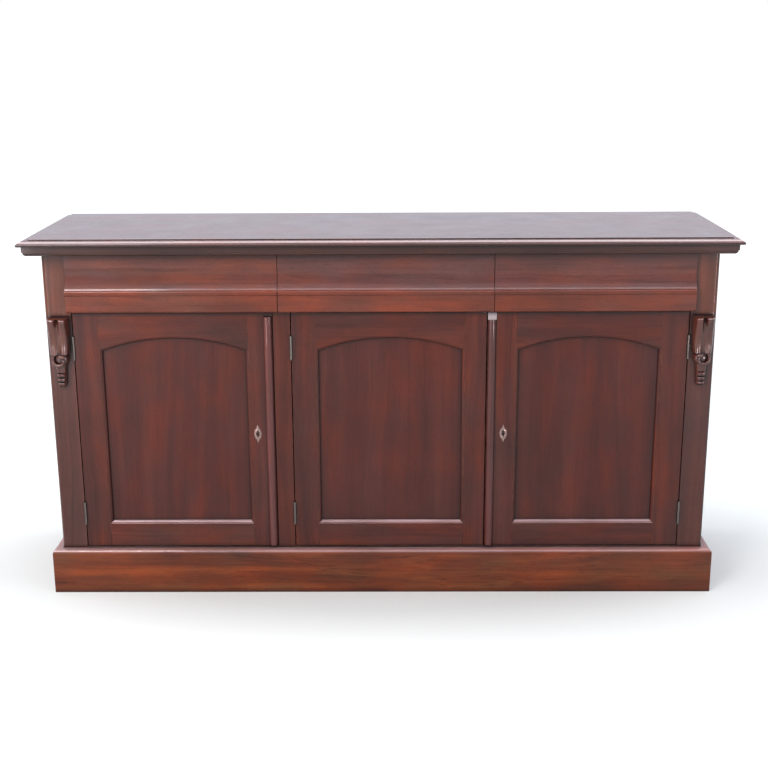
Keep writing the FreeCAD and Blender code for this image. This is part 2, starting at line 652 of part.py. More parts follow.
def door_frame(door):
    """The door's stiles and rails as (stiles, rails), mortised, tenoned and grooved."""
    frame = box((door.left, door.right), (FRAME_FRONT, DOOR_BACK), (DOOR_BOTTOM, DOOR_TOP))
    frame = frame.cut([along_y(arched_steps(door, 0), (FRAME_FRONT, DOOR_BACK)),
                       along_y(arched_steps(door, STICKING), (PANEL_FRONT, PANEL_BACK))] + sticking_cuts(door))
    shares = [stile_share(door, -1), stile_share(door, 1)]
    upper_tenons, lower_tenons = tenons(door)
    stiles = [frame.common(share).cut(upper_tenons + lower_tenons) for share in shares]
    rails = sorted(frame.cut(shares).Solids, key=lambda solid: solid.BoundBox.ZMin)
    rails = [fused([rails[0]] + lower_tenons), fused([rails[1]] + upper_tenons)]
    stiles[0 if door.hung < 0 else 1] = stiles[0 if door.hung < 0 else 1].cut(
        hinge_seats(hinge_axis(door), -door.hung))
    free = 1 if door.hung < 0 else 0
    if door.name == "centre":
        stiles[free] = stiles[free].cut(bolt_mortise(door.right, -1))
    else:
        stiles[free] = stiles[free].cut([lock_body(door), keyway(door)])
    return group(stiles), group(rails)


def door_panel(door):
    """The flat panel, loose in its groove."""
    return along_y(arched_steps(door, STICKING - PANEL_PLAY), (PANEL_FRONT, PANEL_BACK))


def astragal(door):
    """The round bead planted on the free edge of a locking door."""
    x = door.right - ASTRAGAL_INSET if door.hung < 0 else door.left + ASTRAGAL_INSET
    far = x + door.hung * ASTRAGAL_WIDE
    middle = (x + far) / 2
    section = [(x, FRAME_FRONT), ((middle, FRAME_FRONT - ASTRAGAL_PROUD), (far, FRAME_FRONT))]
    return along_z(section, (DOOR_BOTTOM + ASTRAGAL_LIFT, ASTRAGAL_TOP[door.name]))


def buffer_pad():
    """The pale felt square above the right door's bead."""
    left = RIGHT_DOOR.left + ASTRAGAL_INSET
    bottom = ASTRAGAL_TOP[RIGHT_DOOR.name]
    return box((left, left + ASTRAGAL_WIDE), (FRAME_FRONT - BUFFER_THICK, FRAME_FRONT), (bottom, bottom + BUFFER_TALL))


# ---------------------------------------------------------------- hinges
def hinge_axis(door):
    """The X of the door's hinge pins."""
    return door.left - HINGE_GAP / 2 if door.hung < 0 else door.right + HINGE_GAP / 2


def knuckle(axis_x, low, tall):
    """A knuckle's outside: a bar with flats round the hinge axis."""
    turns = [2 * math.pi * index / KNUCKLE_FLATS for index in range(KNUCKLE_FLATS)]
    corners = [(axis_x + KNUCKLE_RADIUS * math.cos(turn), HINGE_Y + KNUCKLE_RADIUS * math.sin(turn)) for turn in turns]
    return along_z(corners, (low, low + tall))


def hinge_leaf(axis_x, side, middle, fixed):
    """One leaf of a butt hinge with its knuckles; the other leaf has the knuckles between them.

    The fixed leaf has the two outer knuckles, bored to the pin; the moving leaf has the middle one,
    bored to turn on it.
    """
    low = middle - HINGE_LONG / 2
    pitch = HINGE_LONG / KNUCKLES
    near, far = axis_x + side * HINGE_GAP / 2, axis_x + side * (HINGE_GAP / 2 + LEAF_THICK)
    plate = box((near, far), (HINGE_Y, HINGE_Y + LEAF_WIDE), (low, low + HINGE_LONG))
    own = []
    others = []
    for index in range(KNUCKLES):
        bottom = low + index * pitch
        if (index % 2 == 0) == fixed:
            own.append(knuckle(axis_x, bottom + KNUCKLE_PLAY / 2, pitch - KNUCKLE_PLAY))
        else:
            others.append(box((near, far), (HINGE_Y, HINGE_Y + KNUCKLE_RADIUS + KNUCKLE_CLEAR),
                              (bottom - KNUCKLE_PLAY / 2, bottom + pitch + KNUCKLE_PLAY / 2)))
    bore = PIN_RADIUS if fixed else PIN_RADIUS + PIN_RUNNING
    hole = rod(bore, (axis_x, HINGE_Y, low - OVERCUT), (0, 0, 1), HINGE_LONG + 2 * OVERCUT)
    return fused([plate.cut(others)] + own).cut(hole)


def hinge_leaves(door):
    """The leaves let into the door's edge."""
    return group([hinge_leaf(hinge_axis(door), -door.hung, middle, False) for middle in HINGE_Z])


def fixed_hinge_leaves():
    """The leaves let into the posts and the muntin."""
    return group([hinge_leaf(hinge_axis(door), door.hung, middle, True) for door in DOORS for middle in HINGE_Z])


def hinge_pins():
    """The pins of all the hinges, flush with the ends of their knuckles."""
    return group([rod(PIN_RADIUS, (hinge_axis(door), HINGE_Y, middle - HINGE_LONG / 2), (0, 0, 1), HINGE_LONG)
                  for door in DOORS for middle in HINGE_Z])


# ---------------------------------------------------------------- locks and bolts
def lock_edge(door):
    """The X of the door's lock edge, and the way from it into the door."""
    return (door.right, -1) if door.hung < 0 else (door.left, 1)


def lock_body(door):
    """The block of the lock let into the back of the stile."""
    edge, inward = lock_edge(door)
    return box((edge, edge + inward * LOCK_WIDE), (LOCK_FRONT, DOOR_BACK), (LOCK_Z - LOCK_TALL / 2, LOCK_Z + LOCK_TALL / 2))


def keyhole_steps(door):
    """A round hole with a slot below it."""
    edge, inward = lock_edge(door)
    x = edge + inward * KEY_BACKSET
    half_slot, drop = KEYHOLE_SLOT[0] / 2, KEYHOLE_SLOT[1]
    middle = LOCK_Z + KEYHOLE_RISE
    shoulder = middle - math.sqrt(KEYHOLE_RADIUS ** 2 - half_slot ** 2)
    return [(x + half_slot, shoulder), ((x, middle + KEYHOLE_RADIUS), (x - half_slot, shoulder)),
            (x - half_slot, middle - drop), (x + half_slot, middle - drop)]


def keyway(door):
    """The key's way through the stile."""
    return along_y(keyhole_steps(door), (FRAME_FRONT, LOCK_FRONT))


def escutcheon(door):
    """The lozenge plate round the keyhole."""
    edge, inward = lock_edge(door)
    x = edge + inward * KEY_BACKSET
    half_wide, half_tall, thick = ESCUTCHEON[0] / 2, ESCUTCHEON[1] / 2, ESCUTCHEON[2]
    plate = along_y([(x, LOCK_Z - half_tall), (x + half_wide, LOCK_Z), (x, LOCK_Z + half_tall), (x - half_wide, LOCK_Z)],
                    (FRAME_FRONT - thick, FRAME_FRONT))
    return plate.cut(along_y(keyhole_steps(door), (FRAME_FRONT - thick, FRAME_FRONT)))


def lock_case(door):
    """The lock with the channel its bolt slides in."""
    edge, inward = lock_edge(door)
    half_tall, half_thick = BOLT_TALL / 2 + BOLT_PLAY, BOLT_THICK / 2 + BOLT_PLAY
    channel = box((edge, edge + inward * (BOLT_LONG + BOLT_END_ROOM)), (BOLT_Y - half_thick, BOLT_Y + half_thick),
                  (LOCK_Z - half_tall, LOCK_Z + half_tall))
    return lock_body(door).cut(channel)


def lock_bolt(door):
    """The lock's bolt, drawn back flush with the door's edge."""
    edge, inward = lock_edge(door)
    start = edge + inward * BOLT_SETBACK
    return box((start, start + inward * BOLT_LONG), (BOLT_Y - BOLT_THICK / 2, BOLT_Y + BOLT_THICK / 2),
               (LOCK_Z - BOLT_TALL / 2, LOCK_Z + BOLT_TALL / 2))


def bolt_mortise(edge, inward):
    """The mortise for a lock bolt in the wood beside the door."""
    half_thick, half_tall = BOLT_THICK / 2 + MORTISE_ROOM, BOLT_TALL / 2 + MORTISE_ROOM
    return box((edge, edge + inward * (BOLT_TRAVEL + MORTISE_ROOM)), (BOLT_Y - half_thick, BOLT_Y + half_thick),
               (LOCK_Z - half_tall, LOCK_Z + half_tall))


def barrel(end_z, towards):
    """A bolt's plate and guide; towards is 1 for the upper bolt and -1 for the lower one."""
    wide, thick, tall = BARREL_PLATE
    start = end_z - towards * BARREL_SETBACK
    plate = box((BARREL_X - wide / 2, BARREL_X + wide / 2), (DOOR_BACK, DOOR_BACK + thick),
                (start, start - towards * tall))
    tube_start = start - towards * (tall - BARREL_LONG) / 2
    guide = box((BARREL_X - BARREL_RADIUS, BARREL_X + BARREL_RADIUS), (DOOR_BACK + thick, ROD_Y + BARREL_RADIUS),
                (tube_start, tube_start - towards * BARREL_LONG))
    hole = rod(ROD_RADIUS + ROD_PLAY, (BARREL_X, ROD_Y, tube_start), (0, 0, -towards), BARREL_LONG)
    knob_radius = ROD_KNOB[0] + ROD_KNOB_PLAY
    knob_z = knob_height(end_z, towards)
    slot = box((BARREL_X - knob_radius, BARREL_X + knob_radius), (ROD_Y, ROD_Y + BARREL_RADIUS + OVERCUT),
               (knob_z - towards * knob_radius, knob_z + towards * (ROD_TRAVEL + knob_radius)))
    return fused([plate, guide]).cut([hole, slot])


def knob_height(end_z, towards):
    """The Z of a bolt's knob at rest."""
    return end_z - towards * (BARREL_SETBACK + BARREL_PLATE[2] / 2 + ROD_TRAVEL / 2)


def bolt_rod(end_z, towards):
    """A bolt's rod with its knob, drawn back."""
    radius, reach = ROD_KNOB
    length = BARREL_SETBACK + BARREL_PLATE[2] - ROD_TAIL
    knob_z = knob_height(end_z, towards)
    bar = rod(ROD_RADIUS, (BARREL_X, ROD_Y, end_z), (0, 0, -towards), length)
    return fused([bar, rod(radius, (BARREL_X, ROD_Y, knob_z), (0, 1, 0), reach)])


# ---------------------------------------------------------------- all nodes
def build():
    """Every node's shape by name."""
    cornice_front, cornice_returns = cornice()
    plinth_front, plinth_returns = plinth()
    side_left, post_left, corbel_left = side_panel(), post(), corbel()
    nodes = {
        "top_board": top_board(),
        "cornice_front": cornice_front,
        "cornice_returns": cornice_returns,
        "top_rails": top_rails(),
        "side_left": side_left,
        "side_right": mirrored(side_left),
        "post_left": post_left,
        "post_right": mirrored(post_left),
        "muntin": muntin(),
        "partition": partition(),
        "bottom_board": bottom_board(),
        "drawer_rail": drawer_rail(),
        "drawer_deck": drawer_deck(),
        "drawer_dividers": drawer_dividers(),
        "drawer_guides": drawer_guides(),
        "back_boards": back_boards(),
        "plinth_front": plinth_front,
        "plinth_returns": plinth_returns,
        "plinth_bearers": plinth_bearers(),
        "corbel_left": corbel_left,
        "corbel_right": mirrored(corbel_left),
        "shelves": shelves(),
        "shelf_cleats": shelf_cleats(),
        "door_stops": door_stops(),
        "bolt_keeper": bolt_keeper(),
        "hinge_leaves_frame": fixed_hinge_leaves(),
        "hinge_pins": hinge_pins(),
        "buffer_pad": buffer_pad(),
        "bolt_barrels": group([barrel(UPPER_ROD_END, 1), barrel(LOWER_ROD_END, -1)]),
        "bolt_rod_upper": bolt_rod(UPPER_ROD_END, 1),
        "bolt_rod_lower": bolt_rod(LOWER_ROD_END, -1),
    }
    for drawer in DRAWERS:
        nodes["drawer_front_" + drawer.name] = drawer_front(drawer)
        nodes["drawer_box_" + drawer.name] = drawer_box(drawer)
        nodes["drawer_bottom_" + drawer.name] = drawer_base_board(drawer)
    for door in DOORS:
        stiles, rails = door_frame(door)
        nodes["door_stiles_" + door.name] = stiles
        nodes["door_rails_" + door.name] = rails
        nodes["door_panel_" + door.name] = door_panel(door)
        nodes["hinge_leaves_" + door.name] = hinge_leaves(door)
    for door in (LEFT_DOOR, RIGHT_DOOR):
        nodes["astragal_" + door.name] = astragal(door)
        nodes["escutcheon_" + door.name] = escutcheon(door)
        nodes["lock_case_" + door.name] = lock_case(door)
        nodes["lock_bolt_" + door.name] = lock_bolt(door)
    return nodes


def main():
    """Write one STEP file for each node."""
    os.makedirs("parts", exist_ok=True)
    for name, shape in build().items():
        shape.exportStep("parts/" + name + ".step")
        print("%-22s solids %2d  valid %s  volume %.0f" % (name, len(shape.Solids), shape.isValid(), shape.Volume))


main()
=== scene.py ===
"""The looks of a three-door mahogany chiffonier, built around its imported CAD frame.

Every board, moulding and fitting of the frame is copied, its edges are softened, and its grain is
laid along its length. The corbels are carved afresh, and slotted screws hold the metalwork.
Lengths are in metres, with X to the right, Y to the back and Z up.
"""
import functools
import json
import logging
import math
import random
from dataclasses import dataclass, field
from enum import Enum

import bmesh
import bpy
from mathutils import Matrix, Vector


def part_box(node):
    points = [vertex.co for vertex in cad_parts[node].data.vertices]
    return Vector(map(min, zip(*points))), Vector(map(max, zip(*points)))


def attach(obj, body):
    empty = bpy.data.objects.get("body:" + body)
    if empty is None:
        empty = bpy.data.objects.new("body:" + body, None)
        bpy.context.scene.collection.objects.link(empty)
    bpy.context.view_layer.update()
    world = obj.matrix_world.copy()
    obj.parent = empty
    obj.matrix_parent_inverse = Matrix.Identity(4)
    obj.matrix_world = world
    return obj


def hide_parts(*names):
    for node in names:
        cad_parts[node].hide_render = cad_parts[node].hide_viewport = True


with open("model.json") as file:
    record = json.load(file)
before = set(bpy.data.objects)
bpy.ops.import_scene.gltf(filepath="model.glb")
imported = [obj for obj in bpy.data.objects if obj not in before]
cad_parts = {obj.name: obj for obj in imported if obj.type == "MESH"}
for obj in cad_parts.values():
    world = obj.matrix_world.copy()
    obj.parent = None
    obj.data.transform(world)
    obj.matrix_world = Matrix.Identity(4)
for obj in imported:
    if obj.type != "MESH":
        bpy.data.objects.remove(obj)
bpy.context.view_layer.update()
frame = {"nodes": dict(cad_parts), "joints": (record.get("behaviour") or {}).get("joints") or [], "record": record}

LOG = logging.getLogger("chiffonier")
RECORD = frame["record"]
BODY_OF = {node: body for body, nodes in RECORD["behaviour"]["bodies"].items() for node in nodes}

Socket = bpy.types.NodeSocket
Mesh = bmesh.types.BMesh
Span = tuple[float, float]
Triple = tuple[float, float, float]
Colour = tuple[float, float, float, float]
RISING: Span = (0.0, 1.0)
FALLING: Span = (1.0, 0.0)
NOISE_SPAN: Span = (0.3, 0.7)
CREVICE_SPAN: Span = (0.3, 0.9)
CREVICE_SAMPLES = 4


def colour(red: float, green: float, blue: float) -> Colour:
    """A linear colour with full alpha."""
    return red, green, blue, 1.0


WHITE = colour(1.0, 1.0, 1.0)


class GrainAxis(Enum):
    """Which way the wood's fibres run in a piece: each solid's longest side, or one axis."""

    LENGTH = -1
    Y = 1
    Z = 2


# ---------------- node trees
class Nodes:
    """A node tree, with short calls that add nodes and join them."""

    def __init__(self, tree: bpy.types.NodeTree) -> None:
        """Empty the tree, ready to be filled."""
        self.tree = tree
        tree.nodes.clear()

    def feed(self, socket: Socket, value: object) -> None:
        """Join a socket to another one, or set its number or colour."""
        if isinstance(value, Socket):
            self.tree.links.new(value, socket)
        else:
            socket.default_value = value

    def add(self, kind: str, inputs: dict | None = None, **settings: object) -> bpy.types.Node:
        """Add a node.

        Args:
            kind: Blender's node type.
            inputs: values or sockets by input name or index.
            settings: the node's own properties.

        Returns:
            The new node.
        """
        node = self.tree.nodes.new(kind)
        for key, value in settings.items():
            setattr(node, key, value)
        for key, value in (inputs or {}).items():
            self.feed(node.inputs[key], value)
        return node

    def maths(self, operation: str, first: object, second: object = 0.0) -> Socket:
        """A Math node's result."""
        return self.add("ShaderNodeMath", {0: first, 1: second}, operation=operation).outputs[0]

    def mixed(self, share: object, first: object, second: object, blend: str = "MIX") -> Socket:
        """Two colours mixed by share, or blended in the named way."""
        return self.add("ShaderNodeMix", {0: share, 6: first, 7: second}, data_type="RGBA",
                        blend_type=blend).outputs[2]

    def shown(self) -> Socket:
        """1 for the rays that show the studio: straight, mirrored or through glass."""
        rays = self.add("ShaderNodeLightPath").outputs
        return self.maths("MAXIMUM", self.maths("MAXIMUM", rays["Is Camera Ray"], rays["Is Glossy Ray"]),
                          rays["Is Transmission Ray"])


class Shader(Nodes):
    """A material's node tree."""

    def __init__(self, name: str) -> None:
        """Start an empty material of that name."""
        self.material = bpy.data.materials.new(name)
        self.material.use_nodes = True
        super().__init__(self.material.node_tree)

    @functools.cached_property
    def place(self) -> Socket:
        """Where a point is in its object."""
        return self.add("ShaderNodeTexCoord").outputs["Object"]

    @functools.cached_property
    def height(self) -> Socket:
        """How far a point is above the floor."""
        return self.add("ShaderNodeSeparateXYZ", {0: self.place}).outputs[2]

    def attribute(self, name: str, output: str = "Fac") -> Socket:
        """A mesh attribute's Fac or Vector output."""
        return self.add("ShaderNodeAttribute", attribute_name=name).outputs[output]

    def stretched(self, vector: Socket, by: Triple) -> Socket:
        """The vector times by, number for number."""
        return self.add("ShaderNodeVectorMath", {0: vector, 1: by}, operation="MULTIPLY").outputs[0]

    def noise(self, at: Socket, scale: float = 1.0, detail: float = 2.0, roughness: float = 0.5) -> Socket:
        """A noise texture's value at a vector."""
        return self.add("ShaderNodeTexNoise", {"Vector": at, "Scale": scale, "Detail": detail,
                                               "Roughness": roughness}).outputs[0]

    def spread(self, value: Socket, old: Span, new: Span) -> Socket:
        """The value moved from the old range into the new one, and kept inside it."""
        return self.add("ShaderNodeMapRange", {"Value": value, "From Min": old[0], "From Max": old[1],
                                               "To Min": new[0], "To Max": new[1]}).outputs[0]

    def ramp(self, value: Socket, stops: tuple[tuple[float, Colour], ...]) -> Socket:
        """A colour ramp through the (place, colour) stops."""
        node = self.add("ShaderNodeValToRGB", {0: value})
        elements = node.color_ramp.elements
        while len(elements) < len(stops):
            elements.new(0.5)
        for element, (place, shade) in zip(elements, stops):
            element.position = place
            element.color = shade
        return node.outputs[0]

    def scaled(self, shade: object, factor: Socket) -> Socket:
        """A colour made lighter or darker by a factor."""
        grey = self.add("ShaderNodeCombineXYZ", {0: factor, 1: factor, 2: factor}).outputs[0]
        return self.mixed(1.0, shade, grey, "MULTIPLY")

    def toned(self, shade: object, value: Socket, old: Span, new: Span) -> Socket:
        """A colour scaled by the factors of new where the value runs through old."""
        return self.scaled(shade, self.spread(value, old, new))

    def bump(self, height: Socket, distance: float, under: Socket | None = None) -> Socket:
        """The surface normal over a height field, on top of another bump if there is one."""
        inputs = {"Height": height, "Distance": distance, "Strength": 1.0}
        if under is not None:
            inputs["Normal"] = under
        return self.add("ShaderNodeBump", inputs).outputs[0]

    def crevices(self, reach: float) -> Socket:
        """1 on open surfaces, falling to 0 in corners and joints narrower than reach: the mask for painted shade.
        """
        return self.add("ShaderNodeAmbientOcclusion", {"Distance": reach}, only_local=False,
                        samples=CREVICE_SAMPLES).outputs["AO"]

    def principled(self, inputs: dict) -> bpy.types.Material:
        """Close the tree with a Principled shader, and return the material."""
        surface = self.add("ShaderNodeBsdfPrincipled", inputs)
        self.add("ShaderNodeOutputMaterial", {0: surface.outputs[0]})
        return self.material


# ---------------- finishes
@dataclass(frozen=True)
class PolishedMahogany:
    """Red-brown mahogany under a French polish that has softened with age.

    A pace is a pattern's repeats in a metre: along the fibres, across them and through the board.
    Tones are factors on the colour, and spans are the values that they run over.
    """

    name: str
    dark: Colour
    middle: Colour
    light: Colour
    coat: float = 0.42
    coat_ior: float = 1.5
    gloss: float = 0.10
    shine: float = 0.15
    bands_per_metre: float = 34.0
    band_span: Span = (0.24, 0.76)
    streaks_per_band: float = 4.4
    streak_stretch: float = 1.7
    streak_span: Span = (0.56, 0.72)
    streaked: float = 0.78
    depth_share: float = 0.6
    tangle: float = 0.56
    drift_pace: Triple = (1.1, 4.5, 4.5)
    sway: float = 0.12
    fibre_pace: Triple = (11.0, 430.0, 430.0)
    fibre_tones: Span = (0.92, 1.08)
    pore_pace: Triple = (85.0, 1500.0, 1500.0)
    pore_span: Span = (0.60, 0.68)
    pore_tones: Span = (1.0, 0.62)
    ripple_pace: Triple = (4.0, 16.0, 16.0)
    ripple_fibre_pore_heights: Triple = (0.00012, 0.00003, 0.00002)
    patch_pace: Triple = (6.0, 15.0, 15.0)
    patch_hues: tuple[tuple[float, Colour], ...] = (
        (0.34, colour(0.84, 1.10, 1.26)), (0.50, WHITE), (0.66, colour(1.30, 1.06, 0.72)))
    blush: float = 0.5
    bloom_tones: Span = (0.85, 1.15)
    rub_span: Span = (0.42, 0.62)
    rub_shares: Span = (0.0, 0.75)
    rub_roughness: float = 0.12
    worn: Colour = colour(0.27, 0.10, 0.045)
    haze: Span = (0.30, 0.44)
    # Painted shade in corners and joints: how dark it gets, how far it reaches, and the occlusion values it runs
    # over.
    corner_dark: float = 0.14
    corner_reach: float = 0.016
    corner_span: Span = (0.46, 0.98)
    # Painted shade low down and painted light up high, over this span of heights.
    height_span: Span = (0.10, 0.72)
    low_tone: float = 0.84
    high_tone: float = 1.04
    # Dust and a painted highlight: a pale lilac on upward-facing ledges near the floor.
    dusty: float = 0.0
    dust: Colour = colour(0.66, 0.47, 0.50)
    dust_slopes: Span = (0.30, 0.62)
    dust_heights: Span = (0.18, 0.22)
    dust_patches: Span = (0.3, 0.6)
    dust_shares: Span = (0.55, 1.0)
    split_at: float = 0.0
    split_below: Colour = WHITE
    split_above: Colour = WHITE
    split_blur: Span = (-0.0006, 0.0006)
    # The painted shadow line's width and how dark it is.
    split_groove: Span = (0.0008, 0.0022)
    split_line: float = 1.0

    def figured(self, shader: Shader, grain: Socket) -> Socket:
        """The wood's colour: slow growth bands that wander, and a few thin dark streaks beside them.

        Args:
            shader: the material that is being built.
            grain: coordinates whose first axis runs along the fibres.

        Returns:
            The colour before fibres, hue and dirt.
        """
        drift = shader.noise(shader.stretched(grain, self.drift_pace), detail=3.0)
        sway = shader.maths("MULTIPLY", shader.maths("SUBTRACT", drift, 0.5), self.sway)
        axes = shader.add("ShaderNodeSeparateXYZ", {0: grain}).outputs
        swayed = shader.add("ShaderNodeCombineXYZ", {0: axes[0], 1: shader.maths("ADD", axes[1], sway),
                                                     2: axes[2]}).outputs[0]
        layers = []
        streaks_per_metre = self.bands_per_metre * self.streaks_per_band
        for along, across, detail in ((1.0, self.bands_per_metre, 4.0),
                                      (self.streak_stretch, streaks_per_metre, 2.0)):
            pace = (along, across, across * self.depth_share)
            layers.append(shader.noise(shader.stretched(swayed, pace), detail=detail, roughness=self.tangle))
        wood = shader.ramp(shader.spread(layers[0], self.band_span, RISING),
                           ((0.0, self.dark), (0.5, self.middle), (1.0, self.light)))
        return shader.toned(wood, layers[1], self.streak_span, (1.0, self.streaked))

    def dusted(self, shader: Shader, wood: Socket, bloom: Socket) -> Socket:
        """The colour with pale dust and scuffs on ledges near the floor, in a pale lilac that is also a painted
        highlight.

        Args:
            shader: the material that is being built.
            wood: the colour so far.
            bloom: a slow noise that makes the dust and painted highlight uneven.

        Returns:
            The dusted colour.
        """
        normal = shader.add("ShaderNodeTexCoord").outputs["Normal"]
        slope = shader.add("ShaderNodeSeparateXYZ", {0: normal}).outputs[2]
        # Painted highlight and dust: strongest on faces that turn upward, and only near the floor.
        share = shader.maths("MULTIPLY", shader.spread(slope, self.dust_slopes, (0.0, self.dusty)),
                             shader.spread(shader.height, self.dust_heights, FALLING))
        share = shader.maths("MULTIPLY", share, shader.spread(bloom, self.dust_patches, self.dust_shares))
        return shader.mixed(share, wood, self.dust)

    def split(self, shader: Shader, wood: Socket) -> Socket:
        """The colour of a piece that changes above and below a height, with a dark painted shadow line there.

        Args:
            shader: the material that is being built.
            wood: the colour so far.

        Returns:
            The divided colour.
        """
        above = shader.maths("SUBTRACT", shader.height, self.split_at)
        share = shader.spread(above, self.split_blur, RISING)
        wood = shader.mixed(1.0, wood, shader.mixed(share, self.split_below, self.split_above), "MULTIPLY")
        # Painted shadow: a dark line at the height where the colour changes.
        return shader.toned(wood, shader.maths("ABSOLUTE", above), self.split_groove, (self.split_line, 1.0))

    @functools.cache
    def material(self) -> bpy.types.Material:
        """Bands, streaks, fibres and pores along the grain, patches of hue, worn edges, painted shade in corners
        and low down, painted light up high, and dust with a painted highlight on low ledges.
        """
        shader = Shader(self.name)
        grain = shader.attribute("grain", "Vector")
        fibre = shader.noise(shader.stretched(grain, self.fibre_pace))
        pores = shader.noise(shader.stretched(grain, self.pore_pace), detail=1.0)
        wood = self.figured(shader, grain)
        wood = shader.toned(wood, fibre, NOISE_SPAN, self.fibre_tones)
        wood = shader.toned(wood, pores, self.pore_span, self.pore_tones)
        wood = shader.scaled(wood, shader.attribute("tone"))
        hue = shader.ramp(shader.noise(shader.stretched(grain, self.patch_pace), detail=3.0), self.patch_hues)
        wood = shader.mixed(self.blush, wood, shader.mixed(1.0, wood, hue, "MULTIPLY"))
        bloom = shader.noise(shader.place, scale=6.0, detail=3.0)
        wood = shader.toned(wood, bloom, NOISE_SPAN, self.bloom_tones)
        rubs = shader.noise(shader.place, scale=38.0, detail=3.0)
        rubbed = shader.maths("MULTIPLY", shader.attribute("wear"),
                              shader.spread(rubs, self.rub_span, self.rub_shares))
        wood = shader.mixed(rubbed, wood, self.worn)
        # Painted shade: darker where ambient occlusion finds corners and joints.
        open_air = shader.crevices(self.corner_reach)
        wood = shader.toned(wood, open_air, self.corner_span, (self.corner_dark, 1.0))
        # Painted shade and light: darker towards the floor, a little lighter up high.
        wood = shader.toned(wood, shader.height, self.height_span, (self.low_tone, self.high_tone))
        # Dust and a painted highlight on the low ledges.
        if self.dusty:
            wood = self.dusted(shader, wood, bloom)
        if self.split_at:
            wood = self.split(shader, wood)
        haze = shader.noise(shader.place, scale=13.0, detail=4.0)
        rough = shader.maths("ADD", shader.spread(haze, NOISE_SPAN, self.haze),
                             shader.maths("MULTIPLY", rubbed, self.rub_roughness))
        ripple = shader.noise(shader.stretched(grain, self.ripple_pace), detail=1.0)
        relief = None
        for layer, high in zip((ripple, fibre, pores), self.ripple_fibre_pore_heights):
            relief = shader.bump(layer, high, relief)
        return shader.principled({
            "Base Color": wood, "Roughness": rough, "Normal": relief, "Specular IOR Level": self.shine,
            "Coat Weight": self.coat, "Coat Roughness": self.gloss, "Coat IOR": self.coat_ior})


@dataclass(frozen=True)
class CarcassWood:
    """The thinly stained wood of the parts that don't show when it is shut."""

    name: str
    dark: Colour
    light: Colour
    band_pace: Triple = (1.6, 55.0, 55.0)
    band_span: Span = (0.28, 0.72)
    fibre_pace: Triple = (14.0, 520.0, 520.0)
    fibre_tones: Span = (0.86, 1.12)
    fibre_height: float = 0.00008
    # Painted shade in corners: how far it reaches and how dark it gets.
    corner_reach: float = 0.02
    corner_dark: float = 0.6
    rough: Span = (0.55, 0.72)

    @functools.cache
    def material(self) -> bpy.types.Material:
        """Plain straight grain, planed and waxed, with painted shade in its corners."""
        shader = Shader(self.name)
        grain = shader.attribute("grain", "Vector")
        bands = shader.noise(shader.stretched(grain, self.band_pace), detail=4.0, roughness=0.6)
        fibre = shader.noise(shader.stretched(grain, self.fibre_pace))
        wood = shader.mixed(shader.spread(bands, self.band_span, RISING), self.dark, self.light)
        wood = shader.toned(wood, fibre, NOISE_SPAN, self.fibre_tones)
        wood = shader.scaled(wood, shader.attribute("tone"))
        # Painted shade in the corners.
        wood = shader.toned(wood, shader.crevices(self.corner_reach), CREVICE_SPAN, (self.corner_dark, 1.0))
        return shader.principled({
            "Base Color": wood, "Roughness": shader.spread(fibre, NOISE_SPAN, self.rough),
            "Normal": shader.bump(fibre, self.fibre_height), "Specular IOR Level": 0.3})


@dataclass(frozen=True)
class AgedMetal:
    """Metal with a tarnish that has been rubbed back where hands and edges wear it."""

    name: str
    bright: Colour
    tarnish: Colour
    cover: float
    rough: Span
    cover_on_edges: float = 0.35
    speck_tones: Span = (0.86, 1.1)
    speck_height: float = 0.00003
    # Painted shade in hollows: how far it reaches and how dark it gets.
    corner_reach: float = 0.004
    corner_dark: float = 0.45

    @functools.cache
    def material(self) -> bpy.types.Material:
        """Mottled tarnish over cast or rolled metal, brighter on worn edges, with painted shade in its hollows."""
        shader = Shader(self.name)
        mottle = shader.noise(shader.place, scale=130.0, detail=5.0, roughness=0.65)
        specks = shader.noise(shader.place, scale=900.0)
        cover = shader.spread(mottle, (0.5 - self.cover / 2, 0.9 - self.cover / 2), FALLING)
        edges = shader.spread(shader.attribute("wear"), RISING, (1.0, self.cover_on_edges))
        shade = shader.mixed(shader.maths("MULTIPLY", cover, edges), self.bright, self.tarnish)
        shade = shader.toned(shade, specks, NOISE_SPAN, self.speck_tones)
        # Painted shade in the hollows.
        shade = shader.toned(shade, shader.crevices(self.corner_reach), CREVICE_SPAN, (self.corner_dark, 1.0))
        return shader.principled({"Base Color": shade, "Metallic": 1.0,
                                  "Roughness": shader.spread(mottle, NOISE_SPAN, self.rough),
                                  "Normal": shader.bump(specks, self.speck_height)})


@dataclass(frozen=True)
class Felt:
    """Short pale wool felt."""

    name: str
    shade: Colour
    fibre_tones: Span = (0.82, 1.08)
    fibre_height: float = 0.0003

    @functools.cache
    def material(self) -> bpy.types.Material:
        """Matted fibres with a soft, uneven face."""
        shader = Shader(self.name)
        fibres = shader.noise(shader.place, scale=1400.0, detail=4.0, roughness=0.7)
        return shader.principled({
            "Base Color": shader.toned(self.shade, fibres, NOISE_SPAN, self.fibre_tones),
            "Normal": shader.bump(fibres, self.fibre_height), "Roughness": 0.95, "Sheen Weight": 0.3})


Finish = PolishedMahogany | CarcassWood | AgedMetal | Felt


def mahogany(name: str, dark: Triple, middle: Triple, light: Triple, **looks: object) -> PolishedMahogany:
    """A polished mahogany from plain linear colours."""
    return PolishedMahogany("mahogany_" + name, colour(*dark), colour(*middle), colour(*light), **looks)


